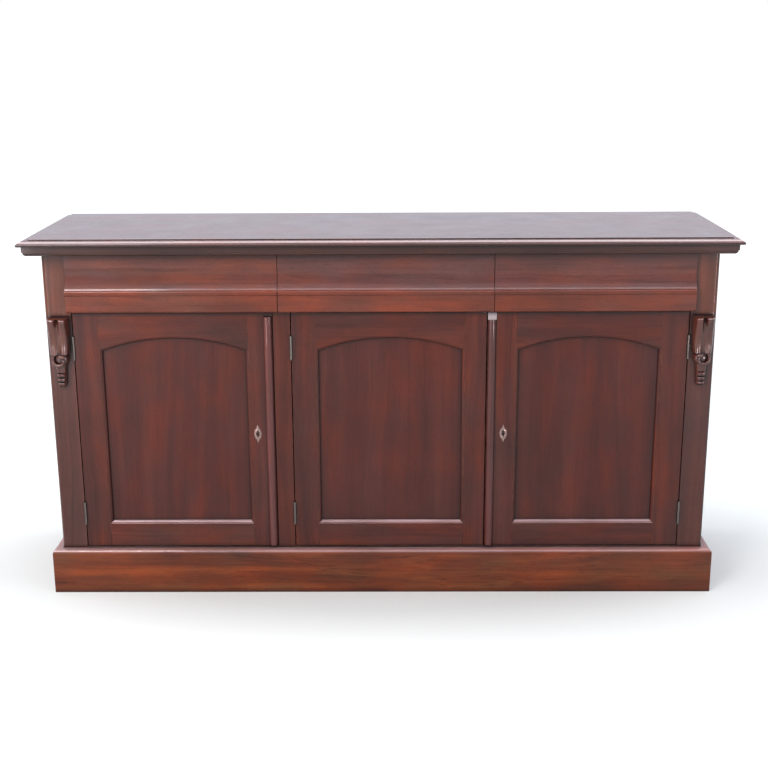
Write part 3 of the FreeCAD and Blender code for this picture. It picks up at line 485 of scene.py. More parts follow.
TOP_MAHOGANY = mahogany("top", (0.026, 0.008, 0.006), (0.050, 0.014, 0.010), (0.074, 0.021, 0.014), coat=0.66)
CORNICE_MAHOGANY = mahogany("cornice", (0.036, 0.013, 0.011), (0.070, 0.027, 0.022), (0.104, 0.040, 0.032))
CASE_MAHOGANY = mahogany("case", (0.054, 0.010, 0.006), (0.102, 0.019, 0.011), (0.150, 0.032, 0.017),
                         coat=0.34, shine=0.12)
# The posts get a painted shadow line under their upper blocks.
POST_MAHOGANY = mahogany("posts", (0.060, 0.015, 0.010), (0.112, 0.030, 0.022), (0.162, 0.048, 0.034),
                         split_at=0.7558, split_above=colour(1.52, 1.46, 0.96), split_line=0.15)
# The carving gets deep painted shade in its recesses.
CARVED_MAHOGANY = mahogany("carving", (0.056, 0.013, 0.008), (0.112, 0.028, 0.018), (0.168, 0.047, 0.029),
                           coat=0.95, gloss=0.13, shine=0.08, corner_dark=0.05, corner_reach=0.010)
BEAD_MAHOGANY = mahogany("beads", (0.078, 0.016, 0.013), (0.130, 0.027, 0.023), (0.180, 0.044, 0.037),
                         coat=0.7, gloss=0.07, shine=0.1)
PLINTH_MAHOGANY = mahogany("plinth", (0.070, 0.014, 0.005), (0.168, 0.036, 0.010), (0.262, 0.066, 0.018),
                           coat=0.5, shine=0.10, bands_per_metre=60.0, streaked=0.56, blush=0.9,
                           low_tone=1.0, dusty=0.3)
DRAWER_MAHOGANY = mahogany("drawers", (0.100, 0.031, 0.024), (0.150, 0.047, 0.038), (0.200, 0.064, 0.051),
                           streaked=0.74, blush=0.9, split_at=0.8262, split_below=colour(1.18, 0.82, 0.52))
DOOR_MAHOGANY = mahogany("doors", (0.054, 0.011, 0.009), (0.104, 0.021, 0.014), (0.156, 0.036, 0.021),
                         coat=0.34, shine=0.12, blush=1.0, dusty=0.9)
# The panels get deep, wide painted shade along their sunk edges.
PANEL_MAHOGANY = mahogany("panels", (0.064, 0.012, 0.009), (0.102, 0.018, 0.012), (0.142, 0.029, 0.018),
                          coat=0.34, shine=0.12, bands_per_metre=24.0, streaked=0.86, blush=0.8,
                          corner_dark=0.05, corner_reach=0.030)
CARCASS_WOOD = CarcassWood("carcass_wood", colour(0.115, 0.045, 0.022), colour(0.225, 0.098, 0.048))
DRAWER_WOOD = CarcassWood("drawer_wood", colour(0.25, 0.13, 0.062), colour(0.42, 0.25, 0.125))
HINGE_BRASS = AgedMetal("darkened_brass", colour(0.13, 0.11, 0.10), colour(0.028, 0.022, 0.019),
                        0.95, (0.24, 0.40))
AGED_BRASS = AgedMetal("aged_brass", colour(0.58, 0.42, 0.21), colour(0.18, 0.12, 0.065), 0.45, (0.26, 0.44))
LOCK_STEEL = AgedMetal("lock_steel", colour(0.42, 0.41, 0.39), colour(0.14, 0.12, 0.10), 0.35, (0.34, 0.55))
WHITE_METAL = AgedMetal("tarnished_white_metal", colour(0.25, 0.170, 0.155), colour(0.060, 0.038, 0.034),
                        0.8, (0.20, 0.36))
PALE_FELT = Felt("pale_felt", colour(0.66, 0.58, 0.63))


# ---------------- meshes
WELD = 2e-6
FLAT_ANGLE = math.radians(0.6)
CORNER_ANGLE = math.radians(48.0)
SHARP_ANGLE = math.radians(50.0)
BEVEL_SEGMENTS = 3
LARGEST_SHIFT = 9
SMALL_EDGE = 0.004


def linked(name: str, data: bpy.types.ID) -> bpy.types.Object:
    """A new object that holds the data, linked to the scene."""
    thing = bpy.data.objects.new(name, data)
    bpy.context.scene.collection.objects.link(thing)
    return thing


def copied(node: str) -> Mesh:
    """A CAD node's mesh with its corners welded."""
    mesh = bmesh.new()
    mesh.from_mesh(frame["nodes"][node].data)
    bmesh.ops.remove_doubles(mesh, verts=mesh.verts, dist=WELD)
    return mesh


def islands(mesh: Mesh) -> list[list[bmesh.types.BMVert]]:
    """The mesh's separate solids, each as a list of its vertices."""
    seen: set[bmesh.types.BMVert] = set()
    found = []
    for start in mesh.verts:
        if start in seen:
            continue
        seen.add(start)
        members, front = [], [start]
        while front:
            vertex = front.pop()
            members.append(vertex)
            for edge in vertex.link_edges:
                other = edge.other_vert(vertex)
                if other not in seen:
                    seen.add(other)
                    front.append(other)
        found.append(members)
    return found


def rounded(count: int) -> list[Span]:
    """The cosine and sine of evenly spaced turns."""
    turns = (2 * math.pi * step / count for step in range(count))
    return [(math.cos(turn), math.sin(turn)) for turn in turns]


def skin(mesh: Mesh, rings: list, caps: tuple[int, ...] = (0, -1)) -> list[list[bmesh.types.BMVert]]:
    """Join rings of points with faces.

    Args:
        mesh: where the faces go.
        rings: rings of as many points each, in order.
        caps: which rings to close; with none, the last ring joins the first.

    Returns:
        The rings' vertices.
    """
    loops = [[mesh.verts.new(point) for point in ring] for ring in rings]
    for first, second in zip(loops, loops[1:] if caps else loops[1:] + loops[:1]):
        for index in range(len(first)):
            follow = (index + 1) % len(first)
            mesh.faces.new((first[index], first[follow], second[follow], second[index]))
    for cap in caps:
        mesh.faces.new(loops[cap])
    return loops


def soften(mesh: Mesh, width: float, shortest: float) -> None:
    """Round the long sharp edges, and mark the new faces as worn.

    Args:
        mesh: the mesh to change.
        width: how far the rounding reaches from the edge.
        shortest: edges shorter than this stay as they are.
    """
    worn = mesh.faces.layers.float.new("wear")
    edges = [edge for edge in mesh.edges if len(edge.link_faces) == 2 and edge.calc_length() > shortest
             and edge.calc_face_angle(0.0) > CORNER_ANGLE]
    if edges:
        made = bmesh.ops.bevel(mesh, geom=edges, offset=width, offset_type="OFFSET", segments=BEVEL_SEGMENTS,
                               profile=0.5, affect="EDGES", clamp_overlap=True)
        for face in made["faces"]:
            face[worn] = 1.0


def lay_grain(mesh: Mesh, name: str, axis: GrainAxis, tone_spread: float) -> None:
    """Give each solid its own grain direction, place in the tree and tone.

    Args:
        mesh: the mesh to mark.
        name: the piece's name, which seeds the differences between boards.
        axis: the way of the fibres.
        tone_spread: how far boards may differ in lightness.
    """
    grain = mesh.verts.layers.float_vector.new("grain")
    tone = mesh.verts.layers.float.new("tone")
    for index, members in enumerate(islands(mesh)):
        draw = random.Random(f"{name} {index}")
        shift = Vector([draw.uniform(0, LARGEST_SHIFT) for _ in range(3)])
        lightness = 1.0 + draw.uniform(-tone_spread, tone_spread)
        along = axis.value
        if axis is GrainAxis.LENGTH:
            sides = [max(v.co[i] for v in members) - min(v.co[i] for v in members) for i in range(3)]
            along = sides.index(max(sides))
        order = [along] + [i for i in range(3) if i != along]
        for vertex in members:
            vertex[grain] = Vector([vertex.co[i] for i in order]) + shift
            vertex[tone] = lightness


def finished_object(mesh: Mesh, name: str) -> bpy.types.Object:
    """Turn a mesh into an object with smooth faces and sharp corners.

    Args:
        mesh: the mesh, which is used up.
        name: the object's name.

    Returns:
        The object, linked to the scene.
    """
    for face in mesh.faces:
        face.smooth = True
    for edge in mesh.edges:
        # An edge where boards meet has more than two faces and no angle of its own.
        edge.smooth = edge.calc_face_angle(math.pi) < SHARP_ANGLE
    data = bpy.data.meshes.new(name)
    mesh.to_mesh(data)
    mesh.free()
    piece = linked(name, data)
    piece.modifiers.new("weighted_normals", "WEIGHTED_NORMAL").keep_sharp = True
    return piece


def hand_over(piece: bpy.types.Object, body: str, finish: Finish,
              nodes: tuple[str, ...] = ()) -> None:
    """Give a piece its finish, its body and the CAD nodes that it stands for.

    Args:
        piece: the finished object.
        body: the CAD body that it moves with.
        finish: what it is finished with.
        nodes: the CAD nodes that it replaces.
    """
    piece.data.materials.clear()
    piece.data.materials.append(finish.material())
    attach(piece, body)
    if nodes:
        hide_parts(*nodes)
    LOG.info("%-24s on %-14s %6d faces", piece.name, body, len(piece.data.polygons))


def put_for(node: str, ending: str, mesh: Mesh, finish: Finish) -> None:
    """Put a mesh in a CAD node's place, under the node's name with an ending."""
    hand_over(finished_object(mesh, node + ending), BODY_OF[node], finish, (node,))


@dataclass
class Members:
    """CAD nodes that are copied with eased edges and grain, and finished alike."""

    nodes: tuple[str, ...]
    finish: Finish
    ease: float
    shortest: float = 0.012
    axis: GrainAxis = GrainAxis.LENGTH
    tone_spread: float = 0.06

    def build(self) -> None:
        """Copy, soften and dress each node; with no easing its faces stay flat and whole."""
        for node in self.nodes:
            mesh = copied(node)
            if self.ease:
                bmesh.ops.dissolve_limit(mesh, angle_limit=FLAT_ANGLE, verts=mesh.verts, edges=mesh.edges)
                soften(mesh, self.ease, self.shortest)
            else:
                bmesh.ops.split_edges(mesh, edges=[edge for edge in mesh.edges if len(edge.link_faces) > 2])
                mesh.faces.layers.float.new("wear")
            lay_grain(mesh, node, self.axis, self.tone_spread)
            put_for(node, "_dressed", mesh, self.finish)


# ---------------- sub-assemblies
@dataclass
class Top:
    """The moulded top board and the cornice under its edge."""

    board_ease: float = 0.0007
    moulding_ease: float = 0.0006

    def build(self) -> None:
        """Dress the top board, the cornice and its returns."""
        Members(("top_board",), TOP_MAHOGANY, self.board_ease).build()
        Members(("cornice_front", "cornice_returns"), CORNICE_MAHOGANY, self.moulding_ease).build()


@dataclass
class Carcass:
    """Posts, sides, rails, boards and everything else that stays still behind the fronts."""

    shown_ease: float = 0.0009
    hidden_ease: float = 0.0007
    hidden_spread: float = 0.12
    tongue_wide: float = 0.012
    tongue_thick: float = 0.003
    tongue_short: float = 0.004
    tongue_ease: float = 0.0004
    tongue_spread: float = 0.1
    shown: tuple[str, ...] = ("side_left", "side_right", "muntin", "drawer_rail")
    posts: tuple[str, ...] = ("post_left", "post_right")
    hidden: tuple[str, ...] = ("top_rails", "partition", "drawer_deck", "drawer_dividers", "drawer_guides",
                               "back_boards", "plinth_bearers", "shelves", "shelf_cleats", "door_stops")

    def build(self) -> None:
        """Dress the polished outside and the stained inside; the floor's front edge is dark too."""
        Members(self.shown, CASE_MAHOGANY, self.shown_ease).build()
        Members(self.posts, POST_MAHOGANY, self.shown_ease).build()
        Members(("bottom_board",), CORNICE_MAHOGANY, self.hidden_ease).build()
        Members(self.hidden, CARCASS_WOOD, self.hidden_ease, tone_spread=self.hidden_spread).build()
        self.tongues()

    def tongues(self) -> None:
        """Close the gaps between the back boards with loose tongues let into their edges."""
        boards = copied("back_boards")
        spans = sorted((min(v.co.x for v in board), max(v.co.x for v in board)) for board in islands(boards))
        boards.free()
        low, high = (Vector(corner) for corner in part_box("back_boards"))
        size = Vector((self.tongue_wide, self.tongue_thick, high.z - low.z - 2 * self.tongue_short, 1.0))
        mesh = bmesh.new()
        for (_, before), (after, _) in zip(spans, spans[1:]):
            middle = Vector(((before + after) / 2, (low.y + high.y) / 2, (low.z + high.z) / 2))
            bmesh.ops.create_cube(mesh, size=1.0, matrix=Matrix.Translation(middle) @ Matrix.Diagonal(size))
        soften(mesh, self.tongue_ease, self.tongue_wide)
        lay_grain(mesh, "back_tongues", GrainAxis.LENGTH, self.tongue_spread)
        hand_over(finished_object(mesh, "back_tongues"), "carcass", CARCASS_WOOD)


@dataclass
class Plinth:
    """The applied plinth boards, scuffed more than the rest."""

    ease: float = 0.0036

    def build(self) -> None:
        """Dress the front and the two returns."""
        Members(("plinth_front", "plinth_returns"), PLINTH_MAHOGANY, self.ease).build()


@dataclass
class Drawer:
    """An overlay drawer: its shaped front, dovetailed box and bottom."""

    name: str
    front_ease: float = 0.0007
    box_ease: float = 0.0
    box_spread: float = 0.1

    def build(self) -> None:
        """Dress the three nodes of the drawer."""
        Members(("drawer_front_" + self.name,), DRAWER_MAHOGANY, self.front_ease).build()
        Members(("drawer_box_" + self.name,), DRAWER_WOOD, self.box_ease, tone_spread=self.box_spread).build()
        Members(("drawer_bottom_" + self.name,), DRAWER_WOOD, self.box_ease, axis=GrainAxis.Y).build()


@dataclass
class Door:
    """An arched-panel door with its bead, keyhole plate and lock where it has them."""

    name: str
    locks: bool
    ease: float = 0.0011
    frame_shortest: float = 0.030
    metal_ease: float = 0.0003

    def build(self) -> None:
        """Dress the door frame, panel and fittings."""
        Members(("door_stiles_" + self.name, "door_rails_" + self.name), DOOR_MAHOGANY, self.ease,
                self.frame_shortest).build()
        Members(("door_panel_" + self.name,), PANEL_MAHOGANY, self.ease).build()
        Members(("hinge_leaves_" + self.name,), HINGE_BRASS, self.metal_ease, SMALL_EDGE).build()
        if self.locks:
            Members(("astragal_" + self.name,), BEAD_MAHOGANY, self.ease).build()
            Members(("lock_case_" + self.name,), LOCK_STEEL, self.metal_ease, SMALL_EDGE).build()
            Members(("lock_bolt_" + self.name,), AGED_BRASS, self.metal_ease, SMALL_EDGE).build()
            Escutcheon(self.name).build()


@dataclass
class Escutcheon:
    """A pierced lozenge keyhole plate, domed towards a raised rim round its hole."""

    side: str
    turns: int = 72
    rings: int = 10
    oval_wide: float = 0.94
    oval_tall: float = 0.66
    point_fullness: float = 0.92
    hole_wide: float = 0.0044
    hole_tall: float = 0.0086
    rim_at: float = 0.16
    rim_narrow: float = 0.12
    rim_proud: float = 0.0004
    edge_thick: float = 0.0006
    dome_gain: float = 0.9
    thickest: float = 0.0015

    def build(self) -> None:
        """Draw rings from the hole out to the lozenge's edge, and close them at the back."""
        node = "escutcheon_" + self.side
        low, high = (Vector(corner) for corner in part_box(node))
        centre, half = (low + high) / 2, (high - low) / 2
        shares = [ring / self.rings for ring in range(self.rings + 1)]
        rings = []
        for share, proud in [(0.0, 0.0), *((share, self.dome(share)) for share in shares), (1.0, 0.0)]:
            ring = []
            for cosine, sine in rounded(self.turns):
                reach = self.outline(cosine, sine)
                inner = Vector((self.hole_wide * cosine, 0.0, self.hole_tall * sine))
                outer = Vector((half.x * cosine * reach, 0.0, half.z * sine * reach))
                spot = inner.lerp(outer, share)
                ring.append((centre.x + spot.x, high.y - proud, centre.z + spot.z))
            rings.append(ring)
        mesh = bmesh.new()
        skin(mesh, rings, caps=())
        bmesh.ops.recalc_face_normals(mesh, faces=mesh.faces)
        mesh.faces.layers.float.new("wear")
        put_for(node, "_pierced", mesh, WHITE_METAL)

    def outline(self, cosine: float, sine: float) -> float:
        """How far the edge lies out along a direction, as a share: an oval drawn out to four points."""
        oval = ((cosine / self.oval_wide) ** 2 + (sine / self.oval_tall) ** 2) ** -0.5
        full = self.point_fullness
        return max(oval, (abs(cosine) ** full + abs(sine) ** full) ** (-1 / full))

    def dome(self, share: float) -> float:
        """How proud the plate is from the hole, at 0, to the edge, at 1."""
        swell = self.edge_thick * (1.0 + self.dome_gain * math.cos(share * math.pi / 2))
        rim = self.rim_proud * math.exp(-(((share - self.rim_at) / self.rim_narrow) ** 2))
        return min(swell + rim, self.thickest)


@dataclass
class Ironmongery:
    """Fixed hinge leaves, pins, bolts and keeper, and the felt buffer."""

    ease: float = 0.0003
    hinges: tuple[str, ...] = ("hinge_leaves_frame", "hinge_pins")
    bolts: tuple[str, ...] = ("bolt_keeper", "bolt_barrels", "bolt_rod_upper", "bolt_rod_lower")

    def build(self) -> None:
        """Dress the small fittings."""
        Members(self.hinges, HINGE_BRASS, self.ease, SMALL_EDGE).build()
        Members(self.bolts, AGED_BRASS, self.ease, SMALL_EDGE).build()
        Members(("buffer_pad",), PALE_FELT, self.ease, SMALL_EDGE).build()


# ---------------- corbels
@dataclass(frozen=True)
class Station:
    """One level of a carved form, measured from the corbel's top and its back."""

    drop: float
    proud: float
    half_wide: float
    groove: float


def blended(stations: tuple[Station, ...], drop: float) -> Station:
    """The station at a drop, on a smooth curve through the given ones.

    Args:
        stations: the levels from the top down.
        drop: the wanted distance below the corbel's top.

    Returns:
        A station at that level.
    """
    last = len(stations) - 1
    index = max(i for i in range(last) if stations[i].drop <= drop or i == 0)
    near = [stations[min(max(i, 0), last)] for i in range(index - 1, index + 3)]
    share = (drop - near[1].drop) / (near[2].drop - near[1].drop)

    def curve(size: str) -> float:
        """Catmull-Rom through one size of the four stations."""
        a, b, c, d = (getattr(station, size) for station in near)
        return 0.5 * (2 * b + (c - a) * share + (2 * a - 5 * b + 4 * c - d) * share ** 2
                      + (3 * b - a - 3 * c + d) * share ** 3)

    return Station(drop, curve("proud"), curve("half_wide"), curve("groove"))


@dataclass
class Corbel:
    """A carved corbel: a leaf that rolls over in two lobes, a scroll under its tip and a ribbed tail."""

    side: str
    columns: int = 49
    leaf_levels: int = 64
    tail_levels: int = 72
    edge_squareness: float = 8.0
    edge_rounding: float = 0.34
    cleft_narrow: float = 0.22
    vein_depth: float = 0.14
    vein_at: float = 0.58
    vein_narrow: float = 0.07
    thinnest: float = 0.0004
    rib_first: float = 0.1503
    rib_pitch: float = 0.0120
    rib_share: float = 0.38
    rib_count: int = 3
    rib_proud: float = 0.0046
    rib_slot: float = 0.0026
    boss_drop: float = 0.108
    boss_turns: int = 56
    bead_sides: int = 14
    bead_radii: Span = (0.0042, 0.0030)
    scroll_steps: int = 96
    scroll_start: float = math.radians(118.0)
    scroll_turns: float = 1.30
    scroll_radii: Span = (0.0176, 0.0052)
    scroll_proud: float = 0.0215
    scroll_swell: float = 0.0058
    scroll_swell_early: float = 0.15
    scroll_outer_taper: Span = (0.35, 5.0)
    scroll_inner_taper: Span = (0.45, 6.0)
    tip_steps: int = 24
    tip_from: float = 0.0035
    tip_long: float = 0.0215
    tip_proud: float = 0.0285
    tip_roll: float = 0.0030
    tip_high: float = 0.0072
    tip_arch: float = 0.0018
    tip_radius: float = 0.0042
    tip_taper: Span = (0.12, 0.76)
    leaf: tuple[Station, ...] = (
        Station(0.0004, 0.0320, 0.0252, 0.0050), Station(0.0026, 0.0358, 0.0258, 0.0120),
        Station(0.0070, 0.0379, 0.0259, 0.0140), Station(0.0130, 0.0370, 0.0259, 0.0110),
        Station(0.0240, 0.0332, 0.0259, 0.0070), Station(0.0420, 0.0290, 0.0257, 0.0046),
        Station(0.0620, 0.0264, 0.0254, 0.0040), Station(0.0800, 0.0262, 0.0246, 0.0050),
        Station(0.0940, 0.0276, 0.0230, 0.0070))
    tail: tuple[Station, ...] = (
        Station(0.110, 0.0210, 0.0160, 0.0020), Station(0.134, 0.0176, 0.0126, 0.0012),
        Station(0.158, 0.0150, 0.0108, 0.0006), Station(0.177, 0.0128, 0.0098, 0.0003),
        Station(0.183, 0.0070, 0.0070, 0.0000))
    boss: tuple[Span, ...] = (
        (0.0, 0.0240), (0.0070, 0.0236), (0.0130, 0.0220), (0.0175, 0.0196), (0.0200, 0.0160), (0.0212, 0.0))

    @functools.cached_property
    def corner(self) -> Triple:
        """The corbel's middle X, back Y and top Z."""
        low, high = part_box("corbel_" + self.side)
        return (low[0] + high[0]) / 2, high[1], high[2]

    def spot(self, across: float, proud: float, drop: float) -> Vector:
        """The point so far right of the corbel's middle, in front of its back and below its top."""
        middle, back, top = self.corner
        return Vector((middle + across, back - proud, top - drop))

    def section(self, station: Station, ribbed: float) -> list[Vector]:
        """The closed outline of the carving at one level.

        Args:
            station: the level's sizes.
            ribbed: extra height of a rib at this level.

        Returns:
            Points across the front and back again along the post.
        """
        points = []
        for column in range(self.columns):
            across = math.sin((column / (self.columns - 1) - 0.5) * math.pi)
            crown = max(0.0, 1.0 - abs(across) ** self.edge_squareness) ** self.edge_rounding
            cleft = math.exp(-(across / self.cleft_narrow) ** 2)
            vein = self.vein_depth * math.exp(-((abs(across) - self.vein_at) / self.vein_narrow) ** 2)
            proud = (station.proud + ribbed - station.groove * (cleft + vein)) * crown
            points.append(self.spot(across * station.half_wide, max(proud, self.thinnest), station.drop))
        return points + [self.spot(side * station.half_wide, 0.0, station.drop) for side in (1.0, -1.0)]

    def rib_height(self, drop: float) -> float:
        """How far the tail's half-round ribs stand out at a level, or how deep its slots are between them."""
        along = drop - self.rib_first + self.rib_pitch / 2
        if not 0.0 < along < self.rib_count * self.rib_pitch:
            return 0.0
        share = abs(along % self.rib_pitch - self.rib_pitch / 2) / (self.rib_pitch * self.rib_share)
        return self.rib_proud * math.sqrt(1.0 - share ** 2) if share < 1.0 else -self.rib_slot

    def loft(self, mesh: Mesh, stations: tuple[Station, ...], levels: int) -> None:
        """Skin a carved form down its stations.

        Args:
            mesh: where the form goes.
            stations: its levels.
            levels: how many outlines to draw.
        """
        first, last = stations[0].drop, stations[-1].drop
        drops = [first + (last - first) * level / (levels - 1) for level in range(levels)]
        skin(mesh, [self.section(blended(stations, drop), self.rib_height(drop)) for drop in drops])

    def turned_boss(self, mesh: Mesh) -> None:
        """The low domed boss under the scroll, turned about an axis that faces the front."""
        rings = [[self.spot(radius * cosine, proud, self.boss_drop - radius * sine)
                  for cosine, sine in rounded(self.boss_turns)] for radius, proud in self.boss[1:]]
        inner = skin(mesh, rings, caps=(-1,))[0]
        hub = mesh.verts.new(self.spot(0.0, self.boss[0][1], self.boss_drop))
        for vertex, follow in zip(inner, inner[1:] + inner[:1]):
            mesh.faces.new((hub, vertex, follow))

    def bead(self, mesh: Mesh, path: list[Vector], radii: list[float]) -> None:
        """A round bead along a path that lies nearly flat to the front.

        Args:
            mesh: where the bead goes.
            path: its middle line.
            radii: its radius at each point of the path.
        """
        rings = []
        for index, (spot, radius) in enumerate(zip(path, radii)):
            ahead = (path[min(index + 1, len(path) - 1)] - path[max(index - 1, 0)]).normalized()
            out = ahead.cross(Vector((0.0, 1.0, 0.0))).normalized()
            proud = out.cross(ahead)
            rings.append([spot + (out * cosine + proud * sine) * radius
                          for cosine, sine in rounded(self.bead_sides)])
        skin(mesh, rings)

    def scroll(self, mesh: Mesh) -> None:
        """The scroll that winds in from the corbel's outer side, and the leaf's tip folded over it."""
        outward = -1 if self.side == "left" else 1
        path, radii = [], []
        for step in range(self.scroll_steps + 1):
            share = step / self.scroll_steps
            turn = self.scroll_start + 2 * math.pi * self.scroll_turns * share
            reach = self.scroll_radii[0] + (self.scroll_radii[1] - self.scroll_radii[0]) * share
            swell = self.scroll_swell * math.sin(math.pi * min(1.0, self.scroll_swell_early + share))
            path.append(self.spot(-outward * reach * math.cos(turn), self.scroll_proud + swell,
                                  self.boss_drop - reach * math.sin(turn)))
            taper = min(1.0, self.scroll_outer_taper[0] + self.scroll_outer_taper[1] * share,
                        self.scroll_inner_taper[0] + self.scroll_inner_taper[1] * (1.0 - share))
            radii.append(taper * (self.bead_radii[0] + (self.bead_radii[1] - self.bead_radii[0]) * share))
        self.bead(mesh, path, radii)
        path, radii = [], []
        for step in range(self.tip_steps + 1):
            share = step / self.tip_steps
            arch = math.sin(math.pi * share)
            path.append(self.spot(outward * (self.tip_from - self.tip_long * share),
                                  self.tip_proud + self.tip_roll * arch,
                                  self.boss_drop - self.tip_high - self.tip_arch * arch))
            taper = self.tip_taper[0] + self.tip_taper[1] * share
            radii.append(self.tip_radius * math.sin(math.pi * taper))
        self.bead(mesh, path, radii)

    def build(self) -> None:
        """Carve the corbel and put it in its node's place."""
        mesh = bmesh.new()
        self.loft(mesh, self.leaf, self.leaf_levels)
        self.loft(mesh, self.tail, self.tail_levels)
        self.turned_boss(mesh)
        self.scroll(mesh)
        bmesh.ops.recalc_face_normals(mesh, faces=mesh.faces)
        mesh.faces.layers.float.new("wear")
        lay_grain(mesh, "corbel_" + self.side, GrainAxis.Z, 0.0)
        put_for("corbel_" + self.side, "_carved", mesh, CARVED_MAHOGANY)


# ---------------- screws
@dataclass(frozen=True)
class ScrewPlace:
    """Where a screw's head sits, and which way it faces."""

    at: Triple
    facing: Triple = (0.0, 1.0, 0.0)


@dataclass
class Screws:
    """Slotted screw heads, laid out by Geometry Nodes on points that carry their direction."""

    radius: float = 0.0032
    tall: float = 0.0007
    slot_wide: float = 0.0008
    slot_long: float = 0.02
    slot_lift: float = 0.45
    sides: int = 24
    seed: int = 7

    def sizes(self) -> dict[str, float]:
        """The tree's inputs by name."""
        return {"Head Radius": self.radius, "Head Height": self.tall, "Slot Width": self.slot_wide,
                "Seed": self.seed}

    def tree(self, finish: Finish) -> bpy.types.NodeTree:
        """The tree that puts a slotted head on every point.

        Args:
            finish: what the screws are made of.

        Returns:
            A node tree with inputs for the head's sizes and the seed.
        """
        tree = bpy.data.node_groups.new("slotted_screws_" + finish.name, "GeometryNodeTree")
        for way in ("INPUT", "OUTPUT"):
            tree.interface.new_socket("Geometry", in_out=way, socket_type="NodeSocketGeometry")
        for name, value in self.sizes().items():
            kind = "NodeSocketInt" if isinstance(value, int) else "NodeSocketFloat"
            tree.interface.new_socket(name, in_out="INPUT", socket_type=kind).default_value = value
        nodes = Nodes(tree)
        given = nodes.add("NodeGroupInput").outputs
        tall = given["Head Height"]
        head = nodes.add("GeometryNodeMeshCylinder", {"Vertices": self.sides, "Radius": given["Head Radius"],
                                                      "Depth": tall})
        slot = nodes.add("ShaderNodeCombineXYZ", {0: self.slot_long, 1: given["Slot Width"], 2: tall})
        cutter = nodes.add("GeometryNodeMeshCube", {"Size": slot.outputs[0]})
        lift = nodes.add("ShaderNodeCombineXYZ", {2: nodes.maths("MULTIPLY", tall, self.slot_lift)})
        raised = nodes.add("GeometryNodeTransform", {"Geometry": cutter.outputs["Mesh"],
                                                     "Translation": lift.outputs[0]})
        slotted = nodes.add("GeometryNodeMeshBoolean", {"Mesh 1": head.outputs["Mesh"],
                                                        "Mesh 2": raised.outputs["Geometry"]},
                            operation="DIFFERENCE")
        facing = nodes.add("GeometryNodeInputNamedAttribute", {"Name": "facing"}, data_type="FLOAT_VECTOR")
        align = nodes.add("FunctionNodeAlignRotationToVector", {"Vector": facing.outputs["Attribute"]},
                          axis="Z")
        turn = nodes.add("FunctionNodeRandomValue", {3: math.pi, "Seed": given["Seed"]}, data_type="FLOAT")
        about = nodes.add("ShaderNodeCombineXYZ", {2: turn.outputs[1]})
        spin = nodes.add("FunctionNodeRotateRotation", {0: align.outputs[0], 1: about.outputs[0]},
                         rotation_space="LOCAL")
        put = nodes.add("GeometryNodeInstanceOnPoints", {
            "Points": given["Geometry"], "Instance": slotted.outputs["Mesh"], "Rotation": spin.outputs[0]})
        real = nodes.add("GeometryNodeRealizeInstances", {0: put.outputs[0]})
        paint = nodes.add("GeometryNodeSetMaterial", {0: real.outputs[0], "Material": finish.material()})
        nodes.add("NodeGroupOutput", {0: paint.outputs[0]})
        return tree

    def build(self, name: str, body: str, slot: str, finish: Finish, places: list[ScrewPlace]) -> None:
        """Make one mesh of all the screws on a body.

        Args:
            name: the piece's name.
            body: the body that the screws ride on.
            slot: the record's material slot, which is not used.
            finish: what the screws are made of.
            places: where they go.
        """
        data = bpy.data.meshes.new(name)
        data.from_pydata([place.at for place in places], [], [])
        facing = data.attributes.new("facing", "FLOAT_VECTOR", "POINT")
        for index, place in enumerate(places):
            facing.data[index].vector = place.facing
        carrier = linked(name + "_points", data)
        modifier = carrier.modifiers.new("screws", "NODES")
        modifier.node_group = self.tree(finish)
        sizes = self.sizes()
        for item in modifier.node_group.interface.items_tree:
            if item.in_out == "INPUT" and item.name in sizes:
                modifier[item.identifier] = sizes[item.name]
        evaluated = carrier.evaluated_get(bpy.context.evaluated_depsgraph_get())
        mesh = bpy.data.meshes.new_from_object(evaluated)
        bpy.data.objects.remove(carrier)
        hand_over(linked(name, mesh), body, finish)


@dataclass
class HingeScrews:
    """Three screws in each hinge leaf, on the faces that meet when a door is shut."""

    stand: float = 0.0002
    rows: Triple = (-0.022, 0.0, 0.022)
    gap_half: float = 0.0012
    from_axis: float = 0.013
    hinge_heights: Span = (0.219, 0.672)

    def places(self, axis: Vector, side: int) -> list[ScrewPlace]:
        """The screws of the two hinges on one axis.

        Args:
            axis: a point on the hinge axis.
            side: -1 for the leaf left of the axis and 1 for the leaf right of it.

        Returns:
            The screws' places.
        """
        x = axis.x + side * (self.gap_half - self.stand)
        return [ScrewPlace((x, axis.y + self.from_axis, height + row), (-side, 0.0, 0.0))
                for height in self.hinge_heights for row in self.rows]

    def build(self) -> None:
        """Screw the leaves to the posts and muntin, and to each door."""
        screws, fixed = Screws(), []
        for joint in frame["joints"]:
            if joint["type"] == "hinge":
                axis = Vector(joint["pos_m"])
                hung = -1 if joint["axis"][2] < 0 else 1
                fixed += self.places(axis, hung)
                screws.build("hinge_screws_" + joint["child"], joint["child"], "aged_brass", AGED_BRASS,
                             self.places(axis, -hung))
        screws.build("hinge_screws_case", "carcass", "aged_brass", AGED_BRASS, fixed)


@dataclass
class LockScrews:
    """Four screws near the corners of each lock's back."""

    radius: float = 0.0030
    inset: float = 0.0075
    lift: float = 0.0002

    def build(self) -> None:
        """Screw the locks to their doors."""
        for side in ("left", "right"):
            low, high = (Vector(corner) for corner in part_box("lock_case_" + side))
            places = [ScrewPlace((x, high.y + self.lift, z))
                      for x in (low.x + self.inset, high.x - self.inset)
                      for z in (low.z + self.inset, high.z - self.inset)]
            Screws(self.radius).build("lock_screws_" + side, "door_" + side, "lock_steel", LOCK_STEEL, places)


